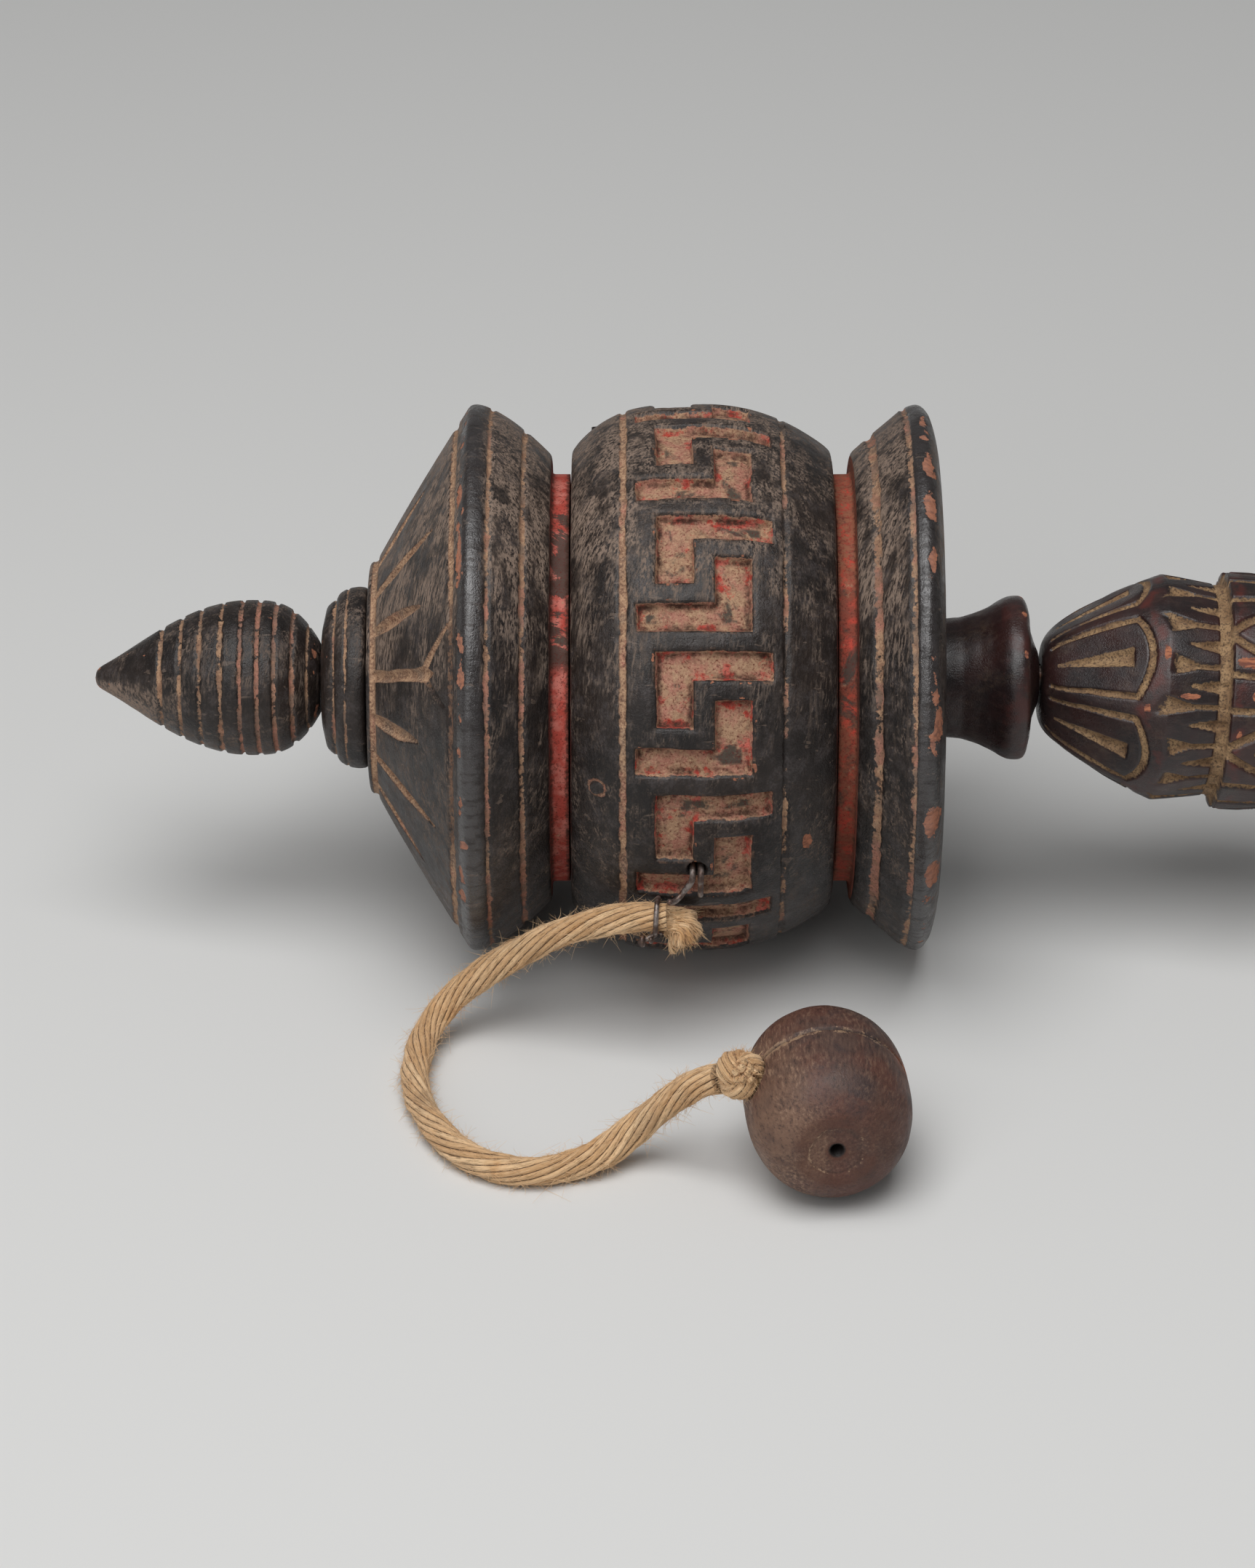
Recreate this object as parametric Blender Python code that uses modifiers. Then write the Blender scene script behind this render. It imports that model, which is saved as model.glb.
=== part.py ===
"""Hand-held prayer wheel, lying on its side: a carved wooden drum that spins on an iron spindle,
a grooved finial, a carved handle, and a jute cord with a turned wooden weight.

Metres, +Z up. The spindle runs along X, with the handle towards +X, and Z = 0 is the floor that
the drum's rims lie on. Angles round the spindle are measured up from the front (-Y) side.
"""
import math

import bmesh
import bpy
from mathutils import Matrix, Vector

# ------------------------------------------------------------------ driving dimensions (metres)
FIT = 0.0003               # gap left between pieces that are glued, pegged or pressed together
RUNNING = 0.0003           # gap between pieces that turn on each other
EDGE = 0.0004              # chamfer on a turned edge
OVERSHOOT = 0.0010         # how far a cutter runs past the face that it opens
BLIND_WALL = 0.0007        # wood left under a blind peg hole

# drum barrel
DRUM_RADIUS = 0.0452               # of the barrel's middle and of both rims
BARREL_HALF_LENGTH = 0.0212
BARREL_CROWN_DROP = 0.0076         # how much smaller the barrel is at its ends than at its middle
BARREL_LID_POWER = 3.5             # the barrel is fuller on its lid side than on its base side
BARREL_BASE_POWER = 2.2
BARREL_WALL = 0.0076               # at the barrel's ends
BORDER_HALF_SPACING = 0.0129       # the two scribed lines beside the carved band
SCRIBE_WIDTH = 0.0009
SCRIBE_DEPTH = 0.0005

# carved key-fret band
FRET_REPEATS = 12
FRET_RIDGE_LENGTH = 0.0032         # along the spindle
FRET_GAP_LENGTH = 0.0062
FRET_RIDGE_SHARE = 0.40            # of a ridge and a gap together, round the drum
FRET_DEPTH = 0.0018
FRET_TURN = math.radians(14.2)     # puts the staple's hole on a ridge

# lid (left end) and base (right end)
GROOVE_DEPTH = 0.0039              # of the red grooves, below the barrel's ends
GROOVE_LENGTH = 0.0033
RIM_ROUND = 0.0021
LID_SHOULDER_DROP = 0.0084         # from the rim to the shoulder beside the groove
LID_FLARE_LENGTH = 0.0124
LID_FLARE_POWER = 1.5
LID_LINES = (0.22, 0.66)           # scribed lines, as shares of the flare
LID_CONE_LENGTH = 0.0143
PLATFORM_RADIUS = 0.0192
PLATFORM_HEIGHT = 0.0011
BASE_SHOULDER_DROP = 0.0079
BASE_FLARE_LENGTH = 0.0108
BASE_LINES = (0.17, 0.75)
BASE_FACE_INSET = 0.0054           # from the rim's radius to the edge of the flat face
BASE_FACE_RISE = 0.0008
SPIGOT_LENGTH = 0.0090
SPIGOT_WALL = 0.0041
LID_TOP_WOOD = 0.0175              # wood between the scroll room and the platform
BASE_WOOD = 0.0075                 # wood between the scroll room and the base's face

# spindle, tube and bushes
ROD_RADIUS = 0.0020
ROD_CHAMFER = 0.0005
ROD_IN_FINIAL = 0.0180
ROD_IN_HANDLE = 0.0280
TUBE_WALL = 0.0016
BUSH_RADIUS = 0.0050
BUSH_FLANGE_RADIUS = 0.0085
BUSH_FLANGE_THICKNESS = 0.0015

# prayer scroll
SCROLL_ROOM_GAP = 0.0012           # free room round the tied scroll
SCROLL_END_GAP = 0.0015
WRAP_THICKNESS = 0.0007
TIE_THICKNESS = 0.0011
TIE_WIDTH = 0.0030
TIE_INSET = 0.0162                 # from the scroll's ends

# lid pegs
PEG_RADIUS = 0.00105
PEG_INSET = 0.0042                 # from the barrel's end
PEG_RECESS = 0.0001
PEG_COUNT = 3
PEG_ANGLE = math.radians(4.0)

# collar and finial
COLLAR_RADIUS = 0.0152
COLLAR_THICKNESS = 0.0076
FINIAL_LENGTH = 0.0378
FINIAL_RADIUS = 0.0128
FINIAL_WIDEST = 0.69               # share of the length, from the tip
FINIAL_BACK_RADIUS = 0.0056
FINIAL_GROOVES = 9
FINIAL_GROOVE_SPACING = 0.0032
FINIAL_GROOVE_MARGIN = 0.0012      # from the last groove to the finial's back
FINIAL_PULL_ROOM = 0.0005          # bore past the end of the rod

# neck spool
SPOOL_LENGTH = 0.0170
SPOOL_WAIST_RADIUS = 0.0097
SPOOL_DISC_RADIUS = 0.0136
SPOOL_DISC_ROUND = 0.0014
SPOOL_BOSS_RADIUS = 0.0076
SPOOL_BOSS_LENGTH = 0.0013
SPOOL_TENON_RADIUS = 0.0060
SPOOL_TENON_LENGTH = 0.0030

# handle: distances run along its own slanted axis, from its nose
HANDLE_LENGTH = 0.1490
HANDLE_DROOP = math.radians(3.4)   # the bore enters the handle at this slant
HANDLE_PIVOT_SETBACK = 0.0104      # the slant starts this far before the nose
HANDLE_NOSE_RADIUS = 0.0050
HANDLE_NOSE_ROUND = 0.0049
PANEL_COUNT = 6
PANEL_TURN = math.radians(-14.0)   # angle of the first panel's middle
PANEL_SLOPE = 0.60
PANEL_START = 0.0029               # where the panels begin, and how far out they are there
PANEL_START_RADIUS = 0.0095
HEAD_RIDGE_START = 0.0160
HEAD_RIDGE_RADIUS = 0.0192
HEAD_BACK_TAPER = 0.145
HEAD_END = 0.0276
HEAD_STEP = 0.0018                 # up from the head to its collar, and the ring's length
HEAD_COLLAR_RADIUS = 0.0196
HEAD_COLLAR_LENGTH = 0.0070
LEAF_LENGTH = 0.0150
GRIP_WAIST_RADIUS = 0.0112
GRIP_SWELL_RADIUS = 0.0132
BEAD_HEIGHT = 0.0018
BEAD_LENGTH = 0.0034
POMMEL_RADIUS = 0.0165
POMMEL_LENGTH = 0.0170
BUTT_RADIUS = 0.0105

# chisel cuts in the handle's head: lengths along it, widths and depths at the two ends
WEDGE_START = 0.0034
WEDGE_LENGTH = 0.0104
WEDGE_WIDTHS = (0.0005, 0.0036)
WEDGE_DEPTHS = (0.0004, 0.0011)
CHIP_COUNT = 18
CHIP_WIDTHS = (0.0030, 0.0012)
CHIP_DEPTHS = (0.0012, 0.0006)
CHIP_MARGIN = 0.0010
LEAF_COUNT = 12
LEAF_CUT_BEFORE = 0.0035           # from the collar's end, towards the head
LEAF_CUT_AFTER = 0.0058
LEAF_CUT_WIDTHS = (0.0008, 0.0044)
LEAF_CUT_DEPTHS = (0.0005, 0.0016)

# staple, wire tie, cord and weight
STAPLE_WIRE_RADIUS = 0.00045
STAPLE_WIRE_GAP = 0.0003           # between the hairpin's two legs
STAPLE_ANGLE = math.radians(-13.8)
STAPLE_X = -0.0011
STAPLE_DEPTH = 0.0058              # how far the hairpin goes into its hole
STAPLE_HOLE_RADIUS = 0.0014
STAPLE_HOLE_BACK = 0.0030          # the hole opens this far inside the bore
HOOK_REACH = 0.0038
HOOK_LIFT = 0.0023
TIE_WIRE_RADIUS = 0.00040
TIE_PLACE = 0.0009                 # from the cord's end to the wire tie
TIE_PITCH = 0.0010
CORD_RADIUS = 0.00225
KNOT_RADIUS = 0.0038
KNOT_STEM_LENGTH = 0.0055
KNOT_STEM_RADIUS = 0.0018
WEIGHT_RADIUS = 0.0131
WEIGHT_HALF_LENGTH = 0.0142
WEIGHT_END_RADIUS = 0.0062
WEIGHT_POWER = 2.8                 # of the superellipse that its side follows
WEIGHT_SEAM_WIDTH = 0.0016
WEIGHT_SEAM_DEPTH = 0.0006
WEIGHT_SEAM_SETBACK = 0.0008
WEIGHT_HOLE_RADIUS = 0.0011
WEIGHT_YAW = math.radians(6.5)

# ------------------------------------------------------------------ places that follow from them
AXIS_HEIGHT = DRUM_RADIUS
BARREL_END_RADIUS = DRUM_RADIUS - BARREL_CROWN_DROP
BARREL_BORE_RADIUS = BARREL_END_RADIUS - BARREL_WALL
GROOVE_RADIUS = BARREL_END_RADIUS - GROOVE_DEPTH
SCROLL_ROOM_RADIUS = BARREL_BORE_RADIUS - FIT - SPIGOT_WALL
LID_SHOULDER_RADIUS = DRUM_RADIUS - LID_SHOULDER_DROP
BASE_SHOULDER_RADIUS = DRUM_RADIUS - BASE_SHOULDER_DROP
GROOVE_END = BARREL_HALF_LENGTH + GROOVE_LENGTH
LID_RIM_X = -(GROOVE_END + LID_FLARE_LENGTH)
CONE_END_X = LID_RIM_X - RIM_ROUND
PLATFORM_EDGE_X = CONE_END_X - LID_CONE_LENGTH
PLATFORM_X = PLATFORM_EDGE_X - PLATFORM_HEIGHT
COLLAR_X = PLATFORM_X - RUNNING - COLLAR_THICKNESS
FINIAL_BACK_X = COLLAR_X - RUNNING
FINIAL_TIP_X = FINIAL_BACK_X - FINIAL_LENGTH
BASE_RIM_X = GROOVE_END + BASE_FLARE_LENGTH
BASE_FACE_X = BASE_RIM_X + RIM_ROUND + BASE_FACE_RISE
SPOOL_X = BASE_FACE_X + FIT
SPOOL_END_X = SPOOL_X + SPOOL_LENGTH
HANDLE_NOSE_X = SPOOL_END_X + RUNNING
LID_ROOM_X = PLATFORM_X + LID_TOP_WOOD
BASE_ROOM_X = BASE_FACE_X - BASE_WOOD
BORE_RADIUS = ROD_RADIUS + RUNNING
HANDLE_PIVOT_X = HANDLE_NOSE_X - HANDLE_PIVOT_SETBACK
HANDLE_START = HANDLE_PIVOT_SETBACK / math.cos(HANDLE_DROOP)
HEAD_COLLAR_START = HEAD_END + HEAD_STEP
LEAF_START = HEAD_COLLAR_START + HEAD_COLLAR_LENGTH
BUTT_X = (HANDLE_PIVOT_X + (HANDLE_START + HANDLE_LENGTH) * math.cos(HANDLE_DROOP)
          + BUTT_RADIUS * math.sin(HANDLE_DROOP))
ORIGIN_SHIFT = -(FINIAL_TIP_X + BUTT_X) / 2
WEIGHT_CENTRE = Vector((0.0189, -0.0780, WEIGHT_RADIUS))
KNOT_CENTRE = WEIGHT_CENTRE + Vector((-0.0135, -0.0020, 0.0062))
TUFT_END = Vector((-0.0022, -0.0428, 0.0196))

# Route of the cord's middle line, from the wire tie on the drum to the knot on the weight.
CORD_ROUTE = (
    (-0.0058, -0.0444, 0.0260),
    (-0.0094, -0.0442, 0.0258),
    (-0.0132, -0.0432, 0.0247),
    (-0.0180, -0.0417, 0.0228),
    (-0.0240, -0.0403, 0.0198),
    (-0.0301, -0.0392, 0.0157),
    (-0.0362, -0.0386, 0.0110),
    (-0.0410, -0.0398, 0.0070),
    (-0.0444, -0.0440, 0.0041),
    (-0.0460, -0.0515, 0.0026),
    (-0.0456, -0.0598, 0.0024),
    (-0.0433, -0.0675, 0.0024),
    (-0.0398, -0.0744, 0.0024),
    (-0.0354, -0.0792, 0.0024),
    (-0.0307, -0.0815, 0.0024),
    (-0.0259, -0.0818, 0.0024),
    (-0.0212, -0.0805, 0.0026),
    (-0.0166, -0.0787, 0.0034),
    (-0.0125, -0.0766, 0.0054),
    (-0.0084, -0.0757, 0.0086),
    (-0.0046, -0.0762, 0.0126),
    (-0.0012, -0.0775, 0.0158),
)

WHEEL_STEPS = 36
SMALL_STEPS = 20
INNER_STEPS = 16


# ------------------------------------------------------------------ helpers
def clear_scene():
    for obj in list(bpy.data.objects):
        bpy.data.objects.remove(obj, do_unlink=True)


def new_collection(name):
    collection = bpy.data.collections.new(name)
    bpy.context.scene.collection.children.link(collection)
    return collection


def new_frame(name, location, rotation=(0.0, 0.0, 0.0)):
    frame = bpy.data.objects.new(name, None)
    bpy.context.scene.collection.objects.link(frame)
    frame.location = location
    frame.rotation_euler = rotation
    return frame


def new_material(name, colour, roughness, metallic=0.0):
    material = bpy.data.materials.new(name)
    material.use_nodes = True
    shader = material.node_tree.nodes["Principled BSDF"]
    shader.inputs["Base Color"].default_value = (*colour, 1.0)
    shader.inputs["Roughness"].default_value = roughness
    shader.inputs["Metallic"].default_value = metallic
    return material


def facet_radius(radius, steps):
    """Distance from a turned piece's axis to the middle of its flat facets."""
    return radius * math.cos(math.pi / steps)


def polar(x, radius, angle):
    """A point beside the spindle, in the frame of the drum's middle."""
    return Vector((x, -radius * math.cos(angle), radius * math.sin(angle)))


def add_object(name, mesh, material=None, parent=None):
    """Link a new object to the parts, or to the cutters when it has no material."""
    obj = bpy.data.objects.new(name, mesh)
    if material is None:
        cutters.objects.link(obj)
        obj.hide_render = True
        obj.display_type = "WIRE"
    else:
        parts.objects.link(obj)
        mesh.materials.append(material)
    obj.parent = parent or spindle_frame
    return obj


def mesh_from(name, bm):
    bmesh.ops.recalc_face_normals(bm, faces=bm.faces)
    mesh = bpy.data.meshes.new(name)
    bm.to_mesh(mesh)
    bm.free()
    return mesh


def smooth(obj, angle=32):
    """Shade smooth, but for edges sharper than an angle in degrees."""
    obj.data.shade_smooth()
    obj.data.set_sharp_from_angle(angle=math.radians(angle))


def turned(name, outline, material=None, bore=None, steps=SMALL_STEPS, parent=None):
    """Turn an outline of (x, radius) points, listed from -X to +X, round the X axis.

    The profile is drawn at the local +X side and runs down the outside, top to bottom. With a
    bore radius it comes back up the hole, and without one it starts and ends on the axis. Half
    a step of turn puts a flat facet, not an edge, at the bottom, so that the piece lies still.
    """
    points = list(reversed(outline))
    if bore is None:
        points = [(points[0][0], 0.0)] + points + [(points[-1][0], 0.0)]
    else:
        points = points + [(points[-1][0], bore), (points[0][0], bore)]
    mesh = bpy.data.meshes.new(name)
    edges = [(i, i + 1) for i in range(len(points) - 1)]
    if bore is not None:
        edges.append((len(points) - 1, 0))
    mesh.from_pydata([(radius, 0.0, x) for x, radius in points], edges, [])
    obj = add_object(name, mesh, material, parent)
    screw = obj.modifiers.new("turn", "SCREW")
    screw.axis = "Z"
    screw.steps = steps
    screw.render_steps = steps
    screw.use_merge_vertices = True
    screw.merge_threshold = 0.00001
    screw.use_smooth_shade = True
    obj.rotation_mode = "ZYX"
    obj.rotation_euler = (0.0, math.pi / 2, math.pi / steps)
    return obj


def rod(name, start, direction, length, radius, material=None, steps=12, parent=None):
    """A round pin, or a round cutter, from a start point along a direction."""
    bm = bmesh.new()
    bmesh.ops.create_cone(bm, cap_ends=True, segments=steps, radius1=radius, radius2=radius, depth=length)
    turn = direction.to_track_quat("Z", "Y").to_matrix().to_4x4()
    place = Matrix.Translation(start + direction * length / 2)
    bmesh.ops.transform(bm, matrix=place @ turn, verts=bm.verts)
    return add_object(name, mesh_from(name, bm), material, parent)


def ball(name, centre, radius, material=None, parent=None):
    bm = bmesh.new()
    bmesh.ops.create_uvsphere(bm, u_segments=16, v_segments=10, radius=radius)
    bmesh.ops.translate(bm, vec=centre, verts=bm.verts)
    return add_object(name, mesh_from(name, bm), material, parent)


def cut(obj, cutter, operation="DIFFERENCE"):
    boolean = obj.modifiers.new(cutter.name, "BOOLEAN")
    boolean.operation = operation
    boolean.solver = "EXACT"
    boolean.object = cutter


def weld(obj):
    """Join the doubled corners that cuts can leave where they meet an edge."""
    joint = obj.modifiers.new("weld", "WELD")
    joint.merge_threshold = 0.000004


def chip_cut(bm, start, end, widths, depths, slope=0.0):
    """Add a V-shaped chisel cut between two surface points given as (x, radius, angle).

    widths and depths hold the cut's value at its start and at its end, and slope is the
    surface's rise in radius per unit of x.
    """
    rows = []
    along = polar(*end) - polar(*start)
    for (x, radius, angle), width, depth in zip((start, end), widths, depths):
        middle = polar(x, radius, angle)
        outward = (polar(0.0, 1.0, angle) - Vector((slope, 0.0, 0.0))).normalized()
        side = outward.cross(along).normalized()
        spread = width / 2 * (1 + EDGE / depth)
        rows.append((middle - outward * depth,
                     middle + outward * EDGE + side * spread,
                     middle + outward * EDGE - side * spread))
    loft(bm, rows)


def loft(bm, rings):
    """Skin a list of closed rings of points, with a flat cap at each end."""
    rows = [[bm.verts.new(point) for point in ring] for ring in rings]
    count = len(rows[0])
    for lower, upper in zip(rows, rows[1:]):
        for i in range(count):
            j = (i + 1) % count
            bm.faces.new((lower[i], lower[j], upper[j], upper[i]))
    bm.faces.new(rows[0])
    bm.faces.new(rows[-1])


def wire(name, points, radius, material, parent=None):
    """A round wire or cord along the points, made a mesh with its end caps welded."""
    curve = bpy.data.curves.new(name, "CURVE")
    curve.dimensions = "3D"
    curve.bevel_depth = radius
    curve.bevel_resolution = 2
    curve.use_fill_caps = True
    curve.twist_mode = "MINIMUM"
    spline = curve.splines.new("POLY")
    spline.points.add(len(points) - 1)
    for target, point in zip(spline.points, points):
        target.co = (*point, 1.0)
    guide = bpy.data.objects.new(name + " path", curve)
    cutters.objects.link(guide)
    depsgraph = bpy.context.evaluated_depsgraph_get()
    mesh = bpy.data.meshes.new_from_object(guide.evaluated_get(depsgraph))
    bpy.data.objects.remove(guide, do_unlink=True)
    bm = bmesh.new()
    bm.from_mesh(mesh)
    bmesh.ops.remove_doubles(bm, verts=bm.verts, dist=0.00001)
    bm.to_mesh(mesh)
    bm.free()
    mesh.name = name
    obj = add_object(name, mesh, material, parent)
    smooth(obj, 50)
    return obj


def smooth_route(points, spacing):
    """Points at an even spacing along a Catmull-Rom curve through the given ones."""
    knots = [Vector(point) for point in points]
    knots = [2 * knots[0] - knots[1]] + knots + [2 * knots[-1] - knots[-2]]
    dense = []
    samples = 12
    for i in range(1, len(knots) - 2):
        a, b, c, d = knots[i - 1:i + 3]
        for k in range(samples):
            t = k / samples
            dense.append(0.5 * (2 * b + (c - a) * t + (2 * a - 5 * b + 4 * c - d) * t * t
                                + (3 * b - a - 3 * c + d) * t ** 3))
    dense.append(knots[-2])
    length = sum((q - p).length for p, q in zip(dense, dense[1:]))
    step = length / max(2, round(length / spacing))
    route = [dense[0]]
    walked = 0.0
    for p, q in zip(dense, dense[1:]):
        walked += (q - p).length
        if walked >= step * len(route) - 1e-9:
            route.append(q)
    return route


# ------------------------------------------------------------------ outlines
def barrel_radius_at(x):
    """A curve that drops by BARREL_CROWN_DROP from the barrel's middle to each of its ends."""
    power = BARREL_LID_POWER if x < 0 else BARREL_BASE_POWER
    return DRUM_RADIUS - BARREL_CROWN_DROP * (abs(x) / BARREL_HALF_LENGTH) ** power


def scribed(x, radius_at, width=SCRIBE_WIDTH, depth=SCRIBE_DEPTH):
    """Three outline points of a fine turned line at x, on a surface given by its radius at x."""
    return [(x - width / 2, radius_at(x - width / 2)), (x, radius_at(x) - depth),
            (x + width / 2, radius_at(x + width / 2))]


def rim_points(x, start, end, count):
    """Outline points round a rim; angles in degrees, 0 towards +X and 90 outwards."""
    angles = [math.radians(start + (end - start) * i / (count - 1)) for i in range(count)]
    return [(x + RIM_ROUND * math.cos(a), DRUM_RADIUS - RIM_ROUND + RIM_ROUND * math.sin(a)) for a in angles]


def barrel_outline():
    """Plain ends, a scribed line on each side, and the band's crown between them."""
    shoulder = [BARREL_HALF_LENGTH * share for share in (1.0, 0.89, 0.75)]
    outline = [(-x, barrel_radius_at(-x)) for x in shoulder]
    outline += scribed(-BORDER_HALF_SPACING, barrel_radius_at)
    outline += [(BORDER_HALF_SPACING * share, barrel_radius_at(BORDER_HALF_SPACING * share))
                for share in (-0.65, 0.0, 0.33, 0.66)]
    outline += scribed(BORDER_HALF_SPACING, barrel_radius_at)
    return outline + [(x, barrel_radius_at(x)) for x in reversed(shoulder)]


def cone_radius_at(x):
    """The lid's cone, from the platform's edge to just under the rim."""
    slope = (DRUM_RADIUS - RIM_ROUND - PLATFORM_RADIUS) / LID_CONE_LENGTH
    return PLATFORM_RADIUS + slope * (x - PLATFORM_EDGE_X)


def lid_flare_radius_at(x):
    """Bell-shaped fall from the lid's rim to its shoulder."""
    share = max(0.0, (x - LID_RIM_X) / LID_FLARE_LENGTH)
    return DRUM_RADIUS - LID_SHOULDER_DROP * share ** LID_FLARE_POWER


def base_flare_radius_at(x):
    """Straight rise from the base's shoulder to its rim."""
    return BASE_SHOULDER_RADIUS + BASE_SHOULDER_DROP * (x - GROOVE_END) / BASE_FLARE_LENGTH


def lid_outline():
    """From the platform under the collar, out over the cone and the rim, to the spigot."""
    outline = [(PLATFORM_X, PLATFORM_RADIUS - EDGE), (PLATFORM_X + EDGE, PLATFORM_RADIUS)]
    outline += [(PLATFORM_EDGE_X, PLATFORM_RADIUS - EDGE),
                (PLATFORM_EDGE_X + EDGE, cone_radius_at(PLATFORM_EDGE_X + EDGE))]
    outline += scribed(CONE_END_X - 1.5 * SCRIBE_WIDTH, cone_radius_at)
    outline += rim_points(LID_RIM_X, 172, 90, 4)
    for share in LID_LINES:
        outline += scribed(LID_RIM_X + LID_FLARE_LENGTH * share, lid_flare_radius_at)
    outline += [(-GROOVE_END - EDGE, lid_flare_radius_at(-GROOVE_END - EDGE)),
                (-GROOVE_END, LID_SHOULDER_RADIUS - EDGE), (-GROOVE_END, GROOVE_RADIUS),
                (-BARREL_HALF_LENGTH - FIT, GROOVE_RADIUS)]
    spigot = BARREL_BORE_RADIUS - FIT
    spigot_end = -BARREL_HALF_LENGTH + SPIGOT_LENGTH
    return outline + [(-BARREL_HALF_LENGTH - FIT, spigot), (spigot_end - EDGE, spigot),
                      (spigot_end, spigot - EDGE)]


def base_outline():
    """From the spigot, over the red groove and the flared flange, to the flat end face."""
    spigot = BARREL_BORE_RADIUS - FIT
    spigot_end = BARREL_HALF_LENGTH - SPIGOT_LENGTH
    outline = [(spigot_end, spigot - EDGE), (spigot_end + EDGE, spigot),
               (BARREL_HALF_LENGTH + FIT, spigot), (BARREL_HALF_LENGTH + FIT, GROOVE_RADIUS),
               (GROOVE_END, GROOVE_RADIUS), (GROOVE_END, BASE_SHOULDER_RADIUS - EDGE),
               (GROOVE_END + EDGE, base_flare_radius_at(GROOVE_END + EDGE))]
    for share in BASE_LINES:
        outline += scribed(GROOVE_END + BASE_FLARE_LENGTH * share, base_flare_radius_at)
    outline += rim_points(BASE_RIM_X, 115, 8, 4)
    return outline + [(BASE_FACE_X, DRUM_RADIUS - BASE_FACE_INSET)]


def collar_outline():
    """A disc with a stepped front, two turned lines and a rounded edge: shares of its size."""
    shares = ((0.0, 0.60), (0.10, 0.78), (0.24, 0.835), (0.28, 0.815), (0.32, 0.90), (0.50, 0.965),
              (0.55, 0.945), (0.60, 0.985), (0.80, 1.0), (1.0, 0.985))
    return [(COLLAR_X + COLLAR_THICKNESS * along, COLLAR_RADIUS * out) for along, out in shares]


def finial_radius_at(x):
    """A bud: a blunt point swells as a sine to the widest place and then turns in to the back."""
    share = min(1.0, max(0.0, (x - FINIAL_TIP_X) / FINIAL_LENGTH))
    if share < FINIAL_WIDEST:
        return FINIAL_RADIUS * max(math.sin(math.pi / 2 * share / FINIAL_WIDEST), 0.9 * math.sqrt(share))
    back = (share - FINIAL_WIDEST) / (1 - FINIAL_WIDEST)
    return FINIAL_RADIUS - (FINIAL_RADIUS - FINIAL_BACK_RADIUS) * back ** 3


def finial_outline():
    """A plain point, then evenly spaced turned grooves up to the collar end."""
    first = FINIAL_BACK_X - FINIAL_GROOVE_MARGIN - FINIAL_GROOVE_SPACING * (FINIAL_GROOVES - 1)
    plain = [FINIAL_TIP_X + (first - SCRIBE_WIDTH - FINIAL_TIP_X) * share for share in (0.05, 0.25, 0.6, 1.0)]
    outline = [(x, finial_radius_at(x)) for x in plain]
    for i in range(FINIAL_GROOVES):
        outline += scribed(first + i * FINIAL_GROOVE_SPACING, finial_radius_at)
    return outline + [(FINIAL_BACK_X, FINIAL_BACK_RADIUS)]


def spool_outline():
    """A waisted neck that flares to a thick disc with a low boss towards the handle."""
    boss_x = SPOOL_END_X - SPOOL_BOSS_LENGTH
    disc_end = boss_x - SPOOL_DISC_ROUND
    disc_start = SPOOL_X + 0.72 * SPOOL_LENGTH
    outline = [(BASE_FACE_X - SPOOL_TENON_LENGTH, SPOOL_TENON_RADIUS), (SPOOL_X, SPOOL_TENON_RADIUS)]
    for share in (0.0, 0.35, 0.55, 0.75, 0.9, 1.0):
        flare = (SPOOL_DISC_RADIUS - SPOOL_WAIST_RADIUS) * share ** 2.3
        outline.append((SPOOL_X + (disc_start - SPOOL_X) * share, SPOOL_WAIST_RADIUS + flare))
    for turn in (0, 30, 60, 90):
        a = math.radians(turn)
        outline.append((disc_end + SPOOL_DISC_ROUND * math.sin(a),
                        SPOOL_DISC_RADIUS - 2 * SPOOL_DISC_ROUND * (1 - math.cos(a))))
    return outline + [(boss_x, SPOOL_BOSS_RADIUS), (SPOOL_END_X, SPOOL_BOSS_RADIUS * 0.5)]


def weight_radius_at(x):
    """A superellipse that reaches WEIGHT_END_RADIUS at the flat ends."""
    end = 1 - (WEIGHT_END_RADIUS / WEIGHT_RADIUS) ** WEIGHT_POWER
    share = abs(x) / WEIGHT_HALF_LENGTH
    return WEIGHT_RADIUS * (1 - end * share ** WEIGHT_POWER) ** (1 / WEIGHT_POWER)


def weight_outline():
    """A fat barrel with flat ends and a turned groove just behind its middle."""
    shares = (1.0, 0.93, 0.82, 0.66, 0.45, 0.24)
    outline = [(-s * WEIGHT_HALF_LENGTH, weight_radius_at(s * WEIGHT_HALF_LENGTH)) for s in shares]
    outline += scribed(-WEIGHT_SEAM_SETBACK, weight_radius_at, WEIGHT_SEAM_WIDTH, WEIGHT_SEAM_DEPTH)
    return outline + [(s * WEIGHT_HALF_LENGTH, weight_radius_at(s * WEIGHT_HALF_LENGTH))
                      for s in reversed(shares)]


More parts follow.
